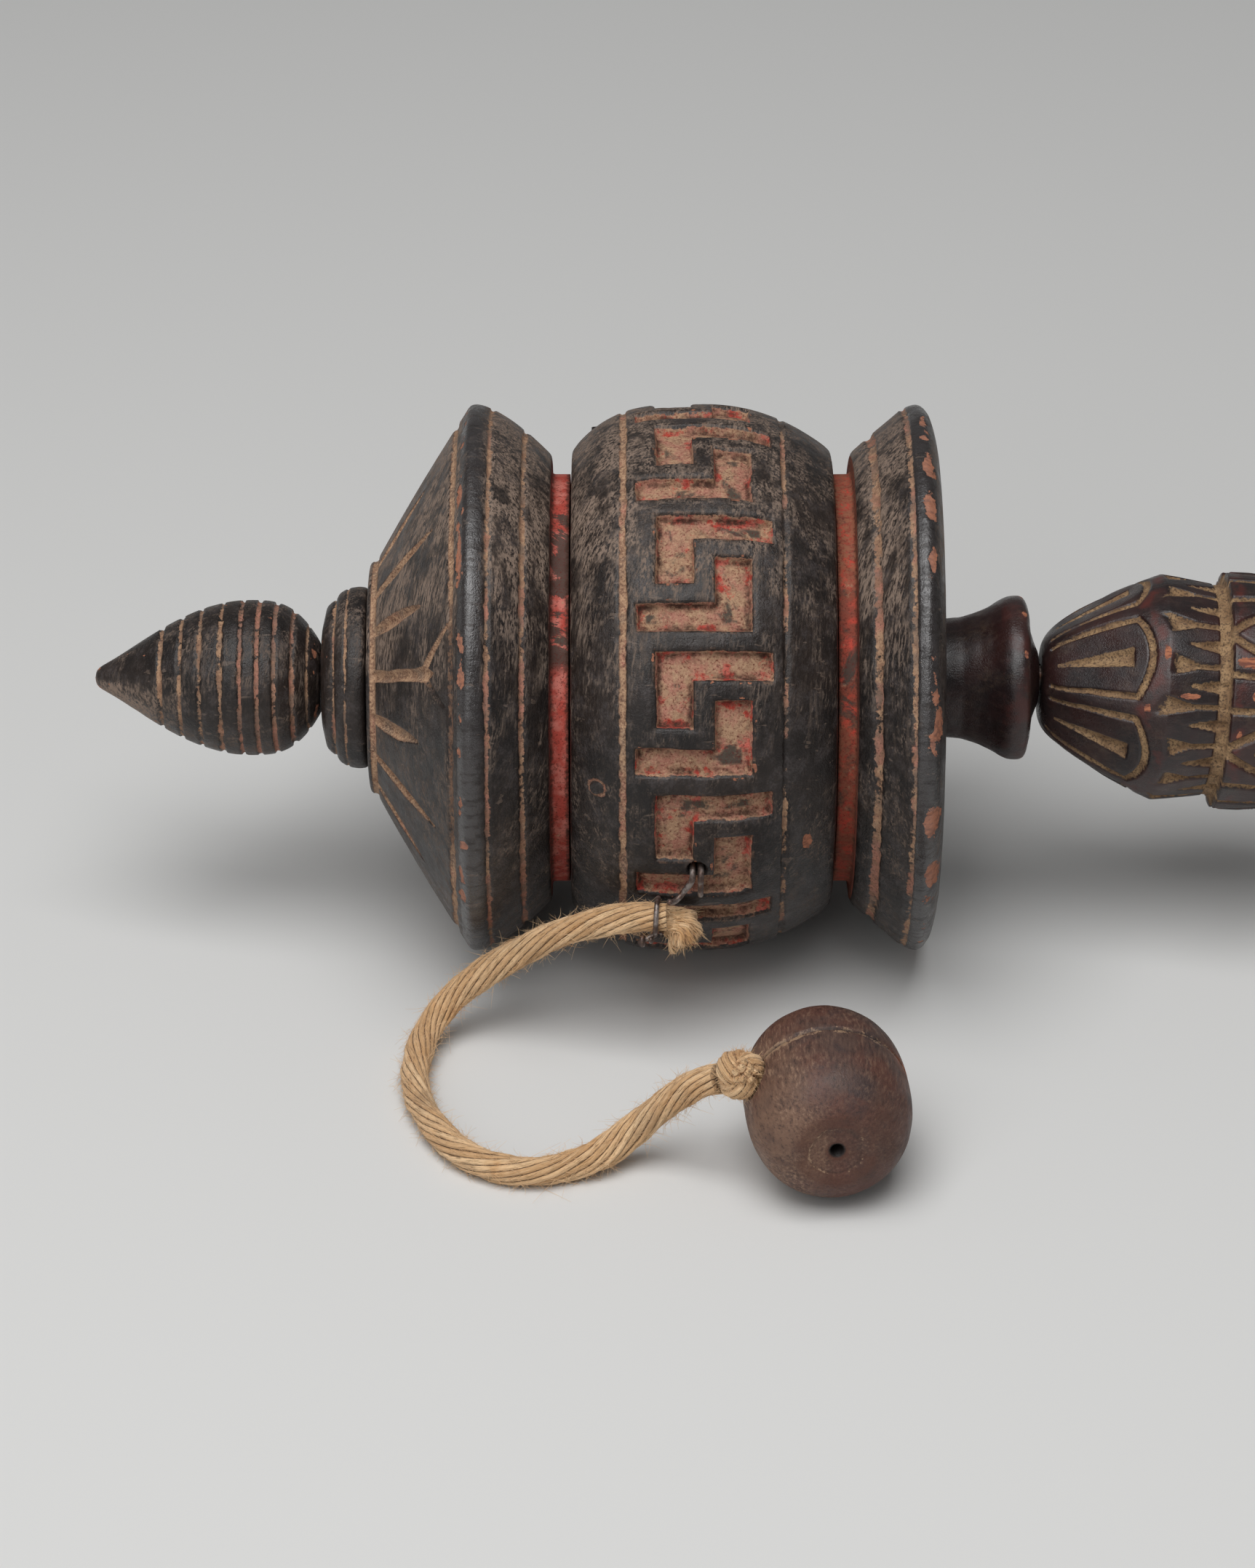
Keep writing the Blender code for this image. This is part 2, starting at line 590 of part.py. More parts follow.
# ------------------------------------------------------------------ drum
def fret_cutter():
    """Recesses of a running key fret, as one grid of cells pushed in from outside the barrel.

    In the pattern '#' is left standing and '.' is sunk. Its rows run along the spindle and its
    columns round the drum; even ones are ridges and odd ones are gaps.
    """
    pattern = ("#####.",
               "#...#.",
               "###.#.",
               "..#.#.",
               "###.##")
    row_sizes = [FRET_RIDGE_LENGTH if i % 2 == 0 else FRET_GAP_LENGTH for i in range(len(pattern))]
    start = -sum(row_sizes) / 2
    row_edges = [start + sum(row_sizes[:i]) for i in range(len(pattern) + 1)]
    columns = FRET_REPEATS * len(pattern[0])
    pair = 4 * math.pi / columns
    column_edges = [FRET_TURN + pair * (j // 2 + FRET_RIDGE_SHARE * (j % 2)) for j in range(columns)]
    bm = bmesh.new()
    corner = {}

    def vertex(i, j):
        key = (i, j % columns)
        if key not in corner:
            x = row_edges[i]
            corner[key] = bm.verts.new(polar(x, barrel_radius_at(x) - FRET_DEPTH, column_edges[key[1]]))
        return corner[key]

    cells = []
    for i, row in enumerate(pattern):
        for j in range(columns):
            if row[j % len(row)] == ".":
                cells.append(bm.faces.new((vertex(i, j), vertex(i, j + 1),
                                           vertex(i + 1, j + 1), vertex(i + 1, j))))
    grown = bmesh.ops.extrude_face_region(bm, geom=cells)
    outside = DRUM_RADIUS + FRET_DEPTH
    for element in grown["geom"]:
        if isinstance(element, bmesh.types.BMVert):
            radius = math.hypot(element.co.y, element.co.z)
            element.co.y *= outside / radius
            element.co.z *= outside / radius
    return add_object("fret cutter", mesh_from("fret cutter", bm))


def make_barrel(material):
    barrel = turned("drum_barrel", barrel_outline(), material, bore=BARREL_BORE_RADIUS, steps=WHEEL_STEPS)
    cut(barrel, fret_cutter())
    inside = polar(STAPLE_X, BARREL_BORE_RADIUS - STAPLE_HOLE_BACK, STAPLE_ANGLE)
    length = DRUM_RADIUS + OVERSHOOT - BARREL_BORE_RADIUS + STAPLE_HOLE_BACK
    cut(barrel, rod("staple hole", inside, polar(0.0, 1.0, STAPLE_ANGLE), length, STAPLE_HOLE_RADIUS))
    cut_peg_holes(barrel)
    weld(barrel)


def peg_places():
    """Start point and direction of each peg, at the inner end of its hole."""
    x = -BARREL_HALF_LENGTH + PEG_INSET
    for i in range(PEG_COUNT):
        angle = PEG_ANGLE + 2 * math.pi * i / PEG_COUNT
        yield polar(x, SCROLL_ROOM_RADIUS + BLIND_WALL, angle), polar(0.0, 1.0, angle)


def cut_peg_holes(obj):
    """Holes through the barrel and part of the way into the lid's spigot."""
    length = DRUM_RADIUS - SCROLL_ROOM_RADIUS
    for i, (start, direction) in enumerate(peg_places()):
        name = "%s peg hole %d" % (obj.name, i + 1)
        cut(obj, rod(name, start, direction, length, PEG_RADIUS + FIT))


def make_pegs(material):
    x = -BARREL_HALF_LENGTH + PEG_INSET
    length = barrel_radius_at(x) - PEG_RECESS - SCROLL_ROOM_RADIUS - BLIND_WALL - FIT
    for i, (start, direction) in enumerate(peg_places()):
        rod("lid_peg_%d" % (i + 1), start + direction * FIT, direction, length, PEG_RADIUS, material)


def make_lid(material):
    lid = turned("drum_lid", lid_outline(), material, bore=BUSH_RADIUS + FIT, steps=WHEEL_STEPS)
    room_end = -BARREL_HALF_LENGTH + SPIGOT_LENGTH + OVERSHOOT
    cut(lid, turned("lid room", [(LID_ROOM_X, SCROLL_ROOM_RADIUS), (room_end, SCROLL_ROOM_RADIUS)],
                    steps=WHEEL_STEPS))
    cut_peg_holes(lid)
    weld(lid)


def make_base(material):
    base = turned("drum_base", base_outline(), material, bore=BUSH_RADIUS + FIT, steps=WHEEL_STEPS)
    room_start = BARREL_HALF_LENGTH - SPIGOT_LENGTH - OVERSHOOT
    cut(base, turned("base room", [(room_start, SCROLL_ROOM_RADIUS), (BASE_ROOM_X, SCROLL_ROOM_RADIUS)],
                     steps=WHEEL_STEPS))
    socket = SPOOL_TENON_RADIUS + FIT
    cut(base, turned("base socket", [(BASE_FACE_X - SPOOL_TENON_LENGTH - FIT, socket),
                                     (BASE_FACE_X + OVERSHOOT, socket)]))
    weld(base)


# ------------------------------------------------------------------ inside the drum
def make_inside(bone, bamboo, paper, silk, string):
    """Bushes, the tube between them, and the scroll with its wrap and ties."""
    lid_flange_end = LID_ROOM_X + FIT + BUSH_FLANGE_THICKNESS
    base_flange_end = BASE_ROOM_X - FIT - BUSH_FLANGE_THICKNESS
    turned("lid_bush", [(PLATFORM_X + FIT, BUSH_RADIUS), (LID_ROOM_X + FIT, BUSH_RADIUS),
                        (LID_ROOM_X + FIT, BUSH_FLANGE_RADIUS), (lid_flange_end, BUSH_FLANGE_RADIUS)],
           bone, bore=BORE_RADIUS, steps=INNER_STEPS)
    turned("base_bush", [(base_flange_end, BUSH_FLANGE_RADIUS), (BASE_ROOM_X - FIT, BUSH_FLANGE_RADIUS),
                         (BASE_ROOM_X - FIT, BUSH_RADIUS),
                         (BASE_FACE_X - SPOOL_TENON_LENGTH - 2 * FIT, BUSH_RADIUS)],
           bone, bore=BORE_RADIUS, steps=INNER_STEPS)
    tube_ends = (lid_flange_end + FIT, base_flange_end - FIT)
    tube_radius = BORE_RADIUS + TUBE_WALL
    turned("axle_tube", [(x, tube_radius) for x in tube_ends], bamboo, bore=BORE_RADIUS, steps=INNER_STEPS)
    ends = (tube_ends[0] + SCROLL_END_GAP, tube_ends[1] - SCROLL_END_GAP)
    tie_radius = SCROLL_ROOM_RADIUS - SCROLL_ROOM_GAP
    tie_bore = tie_radius - TIE_THICKNESS
    wrap_radius = tie_bore - FIT
    wrap_bore = wrap_radius - WRAP_THICKNESS
    turned("prayer_scroll", [(x, wrap_bore - FIT) for x in ends], paper, bore=tube_radius + FIT,
           steps=INNER_STEPS)
    turned("scroll_wrap", [(x, wrap_radius) for x in ends], silk, bore=wrap_bore, steps=INNER_STEPS)
    for label, x in (("lid", ends[0] + TIE_INSET), ("base", ends[1] - TIE_INSET)):
        turned("scroll_tie_" + label,
               [(x - TIE_WIDTH / 2, tie_bore + TIE_THICKNESS / 2), (x - TIE_WIDTH / 4, tie_radius),
                (x + TIE_WIDTH / 4, tie_radius), (x + TIE_WIDTH / 2, tie_bore + TIE_THICKNESS / 2)],
               string, bore=tie_bore, steps=INNER_STEPS)


# ------------------------------------------------------------------ spindle and its ends
def make_spindle(iron):
    start = FINIAL_BACK_X - ROD_IN_FINIAL
    end = HANDLE_NOSE_X + ROD_IN_HANDLE
    turned("spindle_rod", [(start, ROD_RADIUS - ROD_CHAMFER), (start + ROD_CHAMFER, ROD_RADIUS),
                           (end - ROD_CHAMFER, ROD_RADIUS), (end, ROD_RADIUS - ROD_CHAMFER)],
           iron, steps=INNER_STEPS)


def make_finial(material):
    finial = turned("finial", finial_outline(), material, steps=INNER_STEPS)
    bore_start = FINIAL_BACK_X - ROD_IN_FINIAL - FINIAL_PULL_ROOM
    cut(finial, turned("finial bore", [(bore_start, BORE_RADIUS), (FINIAL_BACK_X + OVERSHOOT, BORE_RADIUS)],
                       steps=INNER_STEPS))
    weld(finial)


# ------------------------------------------------------------------ handle
def panel_turn(angle):
    """The angle from the middle of the nearest panel."""
    step = 2 * math.pi / PANEL_COUNT
    return (angle - PANEL_TURN + step / 2) % step - step / 2


def head_radius_at(distance, angle):
    """Six flat panels widen from the nose until they meet a round taper."""
    panel = (PANEL_START_RADIUS + PANEL_SLOPE * (distance - PANEL_START)) / math.cos(panel_turn(angle))
    round_back = HEAD_RIDGE_RADIUS - HEAD_BACK_TAPER * (distance - HEAD_RIDGE_START)
    nose = HANDLE_NOSE_RADIUS + math.sqrt(2 * HANDLE_NOSE_ROUND * distance)
    return min(panel, round_back, nose)


def ridge_distance(angle):
    """Where a panel meets the round taper behind it."""
    lean = math.cos(panel_turn(angle))
    back = HEAD_RIDGE_RADIUS + HEAD_BACK_TAPER * HEAD_RIDGE_START
    front = (PANEL_START_RADIUS - PANEL_SLOPE * PANEL_START) / lean
    return (back - front) / (PANEL_SLOPE / lean + HEAD_BACK_TAPER)


def grip_sections():
    """Stations (distance, radius) from the head's end to the butt."""
    neck = LEAF_START + LEAF_LENGTH
    pommel = HANDLE_LENGTH - POMMEL_LENGTH
    waist = GRIP_WAIST_RADIUS
    swell = GRIP_SWELL_RADIUS
    bead = waist + BEAD_HEIGHT
    span = pommel - neck - 2 * BEAD_LENGTH
    round_size = POMMEL_RADIUS - waist
    return [(HEAD_END, HEAD_COLLAR_RADIUS - HEAD_STEP), (HEAD_COLLAR_START - EDGE, HEAD_COLLAR_RADIUS - EDGE),
            (HEAD_COLLAR_START, HEAD_COLLAR_RADIUS), (LEAF_START, HEAD_COLLAR_RADIUS),
            (LEAF_START + 0.40 * LEAF_LENGTH, HEAD_COLLAR_RADIUS - HEAD_STEP),
            (LEAF_START + 0.75 * LEAF_LENGTH, waist + 0.35 * (HEAD_COLLAR_RADIUS - waist)),
            (neck, waist), (neck + 0.3 * BEAD_LENGTH, bead), (neck + 0.7 * BEAD_LENGTH, bead),
            (neck + BEAD_LENGTH, waist),
            (neck + BEAD_LENGTH + 0.25 * span, waist + 0.7 * (swell - waist)),
            (neck + BEAD_LENGTH + 0.5 * span, swell),
            (neck + BEAD_LENGTH + 0.75 * span, waist + 0.7 * (swell - waist)),
            (pommel - BEAD_LENGTH, waist), (pommel - 0.7 * BEAD_LENGTH, bead),
            (pommel - 0.3 * BEAD_LENGTH, bead), (pommel, waist),
            (pommel + 0.18 * POMMEL_LENGTH, waist + 0.5 * round_size),
            (pommel + 0.42 * POMMEL_LENGTH, waist + 0.88 * round_size),
            (pommel + 0.62 * POMMEL_LENGTH, POMMEL_RADIUS),
            (pommel + 0.82 * POMMEL_LENGTH, waist + 0.85 * round_size),
            (HANDLE_LENGTH - 2 * EDGE, BUTT_RADIUS + 3 * EDGE), (HANDLE_LENGTH, BUTT_RADIUS)]


def make_handle(material):
    """Lofted head and grip; the head's sections are hexagons that become round."""
    count = 4 * PANEL_COUNT
    angles = [PANEL_TURN + 2 * math.pi * i / count for i in range(count)]
    head = [PANEL_START * share for share in (0.0, 0.13, 0.36, 0.68, 1.05)]
    head += sorted(ridge_distance(a) for a in angles[:3])
    head.append(HEAD_END - EDGE)
    rings = [[polar(HANDLE_START + s, head_radius_at(s, a), a) for a in angles] for s in head]
    rings += [[polar(HANDLE_START + s, radius, a) for a in angles] for s, radius in grip_sections()]
    bm = bmesh.new()
    loft(bm, rings)
    handle = add_object("handle", mesh_from("handle", bm), material, handle_frame)
    bore_end = HANDLE_NOSE_X + ROD_IN_HANDLE + FIT
    cut(handle, turned("handle bore", [(HANDLE_NOSE_X - OVERSHOOT, BORE_RADIUS), (bore_end, BORE_RADIUS)],
                       steps=INNER_STEPS))
    cut(handle, head_cutter())
    cut(handle, leaf_cutter())
    weld(handle)
    smooth(handle, 30)


def head_cutter():
    """A wedge-shaped recess in the middle of each panel and a ring of chip cuts behind them."""
    bm = bmesh.new()

    def spot(distance, angle):
        return HANDLE_START + distance, head_radius_at(distance, angle), angle

    for i in range(PANEL_COUNT):
        angle = PANEL_TURN + 2 * math.pi * i / PANEL_COUNT
        chip_cut(bm, spot(WEDGE_START, angle), spot(WEDGE_START + WEDGE_LENGTH, angle),
                 WEDGE_WIDTHS, WEDGE_DEPTHS, PANEL_SLOPE)
    for i in range(CHIP_COUNT):
        angle = PANEL_TURN + 2 * math.pi * (i + 0.5) / CHIP_COUNT
        chip_cut(bm, spot(ridge_distance(PANEL_TURN), angle), spot(HEAD_END - CHIP_MARGIN, angle),
                 CHIP_WIDTHS, CHIP_DEPTHS, -HEAD_BACK_TAPER)
    return add_object("head cutter", mesh_from("head cutter", bm), parent=handle_frame)


def leaf_cutter():
    """Notches that part the leaves behind the head's collar."""
    bm = bmesh.new()
    start = HANDLE_START + LEAF_START - LEAF_CUT_BEFORE
    end = HANDLE_START + LEAF_START + LEAF_CUT_AFTER
    for i in range(LEAF_COUNT):
        angle = PANEL_TURN + 2 * math.pi * (i + 0.5) / LEAF_COUNT
        chip_cut(bm, (start, HEAD_COLLAR_RADIUS, angle), (end, HEAD_COLLAR_RADIUS - HEAD_STEP, angle),
                 LEAF_CUT_WIDTHS, LEAF_CUT_DEPTHS, -HEAD_BACK_TAPER)
    return add_object("leaf cutter", mesh_from("leaf cutter", bm), parent=handle_frame)


# ------------------------------------------------------------------ staple, cord and weight
def make_staple(iron):
    """A bent wire: a short leg down the drum, a hairpin in its hole, and a leg with a hook.

    Each point is a place along the spindle, a lift off the drum and degrees down its face.
    """
    lie = DRUM_RADIUS + FIT + STAPLE_WIRE_RADIUS
    pitch = STAPLE_WIRE_RADIUS + STAPLE_WIRE_GAP / 2
    left, right = STAPLE_X - pitch, STAPLE_X + pitch
    hairpin = [(x, -STAPLE_DEPTH * share, down) for x, share, down in
               ((right, 0.1, 0.4), (right, 0.52, 0.0), (right, 0.9, 0.0), (STAPLE_X, 1.0, 0.0),
                (left, 0.9, 0.0), (left, 0.52, 0.0), (left, 0.1, 0.4))]
    hook = [(left - HOOK_REACH * reach, HOOK_LIFT * lift, down) for reach, lift, down in
            ((0.0, 0.0, 1.2), (0.1, 0.0, 3.0), (0.3, 0.1, 4.5), (0.5, 0.35, 5.6), (0.7, 0.65, 6.0),
             (0.9, 0.9, 5.7), (1.0, 1.0, 4.9))]
    shape = [(right, 0.0, 7.0), (right, 0.0, 3.5), (right, 0.0, 1.2)] + hairpin + hook
    points = [polar(x, lie + lift, STAPLE_ANGLE - math.radians(down)) for x, lift, down in shape]
    wire("drum_staple", points, STAPLE_WIRE_RADIUS, iron)


def cord_frame(route, distance):
    """Middle, direction and two sides of the cord at a distance from its start."""
    direction = (route[1] - route[0]).normalized()
    side = direction.cross(Vector((0.0, 0.0, 1.0))).normalized()
    return route[0] + direction * distance, direction, side, side.cross(direction).normalized()


def make_wire_tie(route, iron):
    """A wire that goes once round the cord and ends in a short tail under it."""
    middle, direction, side, up = cord_frame(route, TIE_PLACE)
    reach = CORD_RADIUS + FIT + TIE_WIRE_RADIUS
    points = []
    turns = 16
    for i in range(turns + 1):
        angle = math.radians(-100 + 340 * i / turns)
        points.append(middle + side * math.cos(angle) * reach + up * math.sin(angle) * reach
                      + direction * TIE_PITCH * i / turns)
    for step in (1, 2):
        points.append(points[turns] + direction * 1.4 * TIE_PITCH * step - up * 0.7 * TIE_PITCH * step)
    wire("wire_tie", points, TIE_WIRE_RADIUS, iron, floor_frame)


def make_tuft(route, jute):
    """The frayed end beyond the wire tie: a short brush that hangs away from the cord's line."""
    start, direction, _, up = cord_frame(route, -FIT)
    down = (TUFT_END - start).normalized()
    bm = bmesh.new()
    rings = []
    count = 12
    for share, width in ((0.0, 0.95), (0.25, 1.00), (0.50, 1.20), (0.78, 1.25), (1.0, 0.85)):
        centre = start.lerp(TUFT_END, share) - direction * CORD_RADIUS / 2 * math.sin(math.pi * share)
        facing = (-direction).lerp(down, min(1.0, share * 1.3)).normalized()
        across = facing.cross(up).normalized()
        other = across.cross(facing).normalized()
        rings.append([centre + (across * math.cos(2 * math.pi * i / count) * 0.85
                                + other * math.sin(2 * math.pi * i / count)) * CORD_RADIUS * width
                      for i in range(count)])
    loft(bm, rings)
    smooth(add_object("cord_tuft", mesh_from("cord_tuft", bm), jute, floor_frame), 60)


def knot_direction():
    """From the knot towards the middle of the weight."""
    return (WEIGHT_CENTRE - KNOT_CENTRE).normalized()


def make_knot(jute):
    """A round overhand knot with a stem that goes into the weight's side."""
    knot = ball("cord_knot", KNOT_CENTRE, KNOT_RADIUS, jute, floor_frame)
    direction = knot_direction()
    stem = rod("knot stem", KNOT_CENTRE + direction * KNOT_RADIUS / 2, direction,
               KNOT_RADIUS / 2 + KNOT_STEM_LENGTH, KNOT_STEM_RADIUS, parent=floor_frame)
    cut(knot, stem, "UNION")
    weld(knot)


def make_weight(wood):
    """The turned weight lies on its side, with a hole in its end and a seat for the knot."""
    lying = Vector((0.0, 0.0, facet_radius(WEIGHT_RADIUS, SMALL_STEPS) - WEIGHT_RADIUS))
    frame = new_frame("weight_frame", WEIGHT_CENTRE + lying + Vector((ORIGIN_SHIFT, 0.0, 0.0)),
                      (0.0, 0.0, WEIGHT_YAW - math.pi / 2))
    weight = turned("weight", weight_outline(), wood, parent=frame)
    cut(weight, turned("weight hole", [(-WEIGHT_HALF_LENGTH - OVERSHOOT, WEIGHT_HOLE_RADIUS),
                                       (WEIGHT_HALF_LENGTH + OVERSHOOT, WEIGHT_HOLE_RADIUS)],
                       steps=INNER_STEPS, parent=frame))
    cut(weight, ball("knot seat", KNOT_CENTRE, KNOT_RADIUS + FIT, parent=floor_frame))
    direction = knot_direction()
    cut(weight, rod("stem hole", KNOT_CENTRE + direction * KNOT_RADIUS / 2, direction,
                    KNOT_RADIUS / 2 + KNOT_STEM_LENGTH + FIT, KNOT_STEM_RADIUS + FIT,
                    parent=floor_frame))
    weld(weight)


def make_cord(jute, iron):
    """The cord, from its tie on the drum to the face of the knot on the weight."""
    last = Vector(CORD_ROUTE[-1])
    knot_face = KNOT_CENTRE + (last - KNOT_CENTRE).normalized() * (KNOT_RADIUS + FIT)
    route = smooth_route(CORD_ROUTE + (knot_face,), 2.4 * CORD_RADIUS)
    wire("cord", route, CORD_RADIUS, jute, floor_frame)
    make_wire_tie(route, iron)
    make_tuft(route, jute)
    make_knot(jute)


# ------------------------------------------------------------------ assembly
clear_scene()
parts = new_collection("prayer_wheel")
cutters = new_collection("cutters")
floor_frame = new_frame("floor_frame", (ORIGIN_SHIFT, 0.0, 0.0))
spindle_height = facet_radius(AXIS_HEIGHT, WHEEL_STEPS)
spindle_frame = new_frame("spindle_frame", (ORIGIN_SHIFT, 0.0, spindle_height))
handle_frame = new_frame("handle_frame", (ORIGIN_SHIFT + HANDLE_PIVOT_X, 0.0, spindle_height),
                         (0.0, HANDLE_DROOP, 0.0))
bpy.context.view_layer.update()

lacquer = new_material("black lacquered wood", (0.025, 0.024, 0.024), 0.42)
maroon = new_material("dark maroon wood", (0.060, 0.022, 0.018), 0.35)
worn_wood = new_material("worn brown wood", (0.090, 0.048, 0.038), 0.60)
iron_dark = new_material("dark iron", (0.100, 0.090, 0.085), 0.50, 1.0)
jute_tan = new_material("tan jute", (0.450, 0.300, 0.150), 0.90)
bone_white = new_material("bone", (0.650, 0.580, 0.420), 0.50)
bamboo_tan = new_material("bamboo", (0.480, 0.330, 0.150), 0.60)
paper_cream = new_material("handmade paper", (0.600, 0.500, 0.330), 0.90)
silk_yellow = new_material("yellow silk", (0.600, 0.350, 0.050), 0.70)
string_red = new_material("red string", (0.350, 0.040, 0.030), 0.85)

make_barrel(lacquer)
make_lid(lacquer)
make_base(lacquer)
make_pegs(lacquer)
make_inside(bone_white, bamboo_tan, paper_cream, silk_yellow, string_red)
make_spindle(iron_dark)
make_finial(lacquer)
turned("finial_collar", collar_outline(), lacquer, bore=BORE_RADIUS)
turned("neck_spool", spool_outline(), maroon, bore=BORE_RADIUS)
make_handle(maroon)
make_staple(iron_dark)
make_cord(jute_tan, iron_dark)
make_weight(worn_wood)
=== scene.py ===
import math
import random

import bpy
import numpy as np
from mathutils import Matrix, Vector


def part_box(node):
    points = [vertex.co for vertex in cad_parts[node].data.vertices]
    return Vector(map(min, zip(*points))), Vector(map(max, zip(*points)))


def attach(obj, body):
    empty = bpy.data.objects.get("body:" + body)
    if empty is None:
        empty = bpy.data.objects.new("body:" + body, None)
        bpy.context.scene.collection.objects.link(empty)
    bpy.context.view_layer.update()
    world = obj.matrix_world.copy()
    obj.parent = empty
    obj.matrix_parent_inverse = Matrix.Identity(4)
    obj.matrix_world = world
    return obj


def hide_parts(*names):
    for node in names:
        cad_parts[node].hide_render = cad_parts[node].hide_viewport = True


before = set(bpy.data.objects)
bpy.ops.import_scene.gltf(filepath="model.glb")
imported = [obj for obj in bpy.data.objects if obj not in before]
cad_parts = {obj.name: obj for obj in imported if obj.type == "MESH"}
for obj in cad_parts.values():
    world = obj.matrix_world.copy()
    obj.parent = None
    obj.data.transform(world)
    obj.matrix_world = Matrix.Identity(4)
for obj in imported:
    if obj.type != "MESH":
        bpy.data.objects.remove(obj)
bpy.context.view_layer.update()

MM = 0.001

# ------------------------------------------------------------------ places taken from the frame
barrel_low, barrel_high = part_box("drum_barrel")
lid_low, lid_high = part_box("drum_lid")
spool_low, spool_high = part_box("neck_spool")
finial_low, finial_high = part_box("finial")
collar_low, collar_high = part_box("finial_collar")
weight_low, weight_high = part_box("weight")

MIDDLE_X = (barrel_low.x + barrel_high.x) / 2
RIM = (lid_high.z - lid_low.z) / 2         # radius of both rims and of the barrel's middle
AXIS_Z = lid_low.z + RIM
SPINDLE = Matrix.Translation((MIDDLE_X, 0, AXIS_Z))
TO_FLOOR = Matrix.Translation((MIDDLE_X, 0, 0))

# Sizes of the drum, along x from its middle and out from the spindle.
HALF_BARREL = (barrel_high.x - barrel_low.x) / 2
BARREL_DROP = 0.0076                       # from the barrel's middle to its ends
BARREL_BORE = 0.03
GROOVE_LENGTH = 0.0033
GROOVE_RADIUS = RIM - 0.0115
GROOVE_END = HALF_BARREL + GROOVE_LENGTH
SPIGOT_RADIUS = 0.0297
SPIGOT_END = HALF_BARREL - 0.009
ROOM_RADIUS = 0.0256
SEAM = 0.0003                              # gap between parts that seat on each other
BUSH_HOLE = 0.0053
ROD_HOLE = 0.0023
BORDER = 0.0129                            # scribed lines beside the carved band


def new_object(name, data):
    obj = bpy.data.objects.new(name, data)
    bpy.context.scene.collection.objects.link(obj)
    return obj


# ------------------------------------------------------------------ camera
CAMERA_LENS = 121.2
CAMERA_SENSOR = 36
CAMERA_PLACE = (MIDDLE_X - 0.0121, -0.7633, AXIS_Z + 0.4204)
CAMERA_TILT = math.radians(60)             # from looking straight down
camera_data = bpy.data.cameras.new("camera")
camera_data.lens = CAMERA_LENS
camera_data.sensor_width = CAMERA_SENSOR
camera_data.clip_start = 0.01
camera = new_object("camera", camera_data)
camera.location = CAMERA_PLACE
camera.rotation_euler = (CAMERA_TILT, 0, 0)
bpy.context.scene.camera = camera

# ------------------------------------------------------------------ the cord's place, as in the CAD
# Route of its middle line in millimetres, from the point on the floor under the drum's middle.
CORD_ROUTE = (
    (-5.8, -44.4, 26), (-9.4, -44.2, 25.8), (-13.2, -43.2, 24.7), (-18, -41.7, 22.8), (-24, -40.3, 19.8),
    (-30.1, -39.2, 15.7), (-36.2, -38.6, 11), (-41, -39.8, 7), (-44.4, -44, 4.1), (-46, -51.5, 2.6),
    (-45.6, -59.8, 2.4), (-43.3, -67.5, 2.4), (-39.8, -74.4, 2.4), (-35.4, -79.2, 2.4), (-30.7, -81.5, 2.4),
    (-25.9, -81.8, 2.4), (-21.2, -80.5, 2.6), (-16.6, -78.7, 3.4), (-12.5, -76.6, 5.4), (-8.4, -75.7, 8.6),
    (-4.6, -76.2, 12.6), (-1.2, -77.5, 15.8))
CORD_RADIUS = 0.00225
KNOT_RADIUS = 0.0038
WEIGHT_CENTRE = Vector((0.0189, -0.078, 0.0131))
WEIGHT_YAW = math.radians(4.5)
KNOT_CENTRE = WEIGHT_CENTRE + Vector((-0.0135, -0.002, 0.0062))
TUFT_END = Vector((-0.0022, -0.0428, 0.0196))


# ------------------------------------------------------------------ noise and soft steps
def lattice(ix, iy, iz, seed):
    """A repeatable value from -1 to 1 for each point of an integer lattice."""
    mixed = (ix * 374761393 + iy * 668265263 + iz * 1274126177 + seed * 974634777) & 0xFFFFFFFF
    mixed = ((mixed ^ (mixed >> 13)) * 1103515245) & 0xFFFFFFFF
    mixed = ((mixed ^ (mixed >> 15)) * 2246822519) & 0xFFFFFFFF
    mixed = mixed ^ (mixed >> 14)
    return (mixed & 0xFFFFFF) / float(0x7FFFFF) - 1


def noise(points, size, seed=0, octaves=2):
    """Smooth noise from about -1 to 1; size is its feature size, one number or one an axis."""
    total = norm = 0
    scaled = points / np.asarray(size, dtype=float)
    for octave in range(octaves):
        place = scaled * 2 ** octave + 31.7 * octave
        cell = np.floor(place).astype(np.int64)
        part = place - cell
        part = part * part * (3 - 2 * part)
        sides = (1 - part, part)
        value = 0
        for corner in range(8):
            dx, dy, dz = corner & 1, corner >> 1 & 1, corner >> 2 & 1
            weight_here = sides[dx][..., 0] * sides[dy][..., 1] * sides[dz][..., 2]
            value = value + weight_here * lattice(cell[..., 0] + dx, cell[..., 1] + dy, cell[..., 2] + dz,
                                                  seed + octave)
        total = total + 0.5 ** octave * value
        norm += 0.5 ** octave
    return total / norm


def share(value):
    """The value kept between 0 and 1."""
    return np.clip(value, 0, 1)


def ease(value, low, high):
    """0 below low, 1 above high, smooth between."""
    t = share((value - low) / (high - low))
    return t * t * (3 - 2 * t)


def trench(distance, half, wall):
    """1 within half of a line, 0 beyond half plus wall."""
    return 1 - ease(np.abs(distance), half, half + wall)


def bell(distance, width, power=2):
    """1 at no distance, and soon nothing beyond the width; a high power makes it flat and steep."""
    return np.exp(-np.abs(distance / width) ** power)


def flaking(flakes, least):
    """A field that passes 0.5, where the wood is bare, as the noise passes least."""
    return share(0.5 + 1.6 * (flakes - least))


def wrap_angle(angle, step=2 * math.pi):
    """The angle from the nearest multiple of step."""
    return (angle + step / 2) % step - step / 2


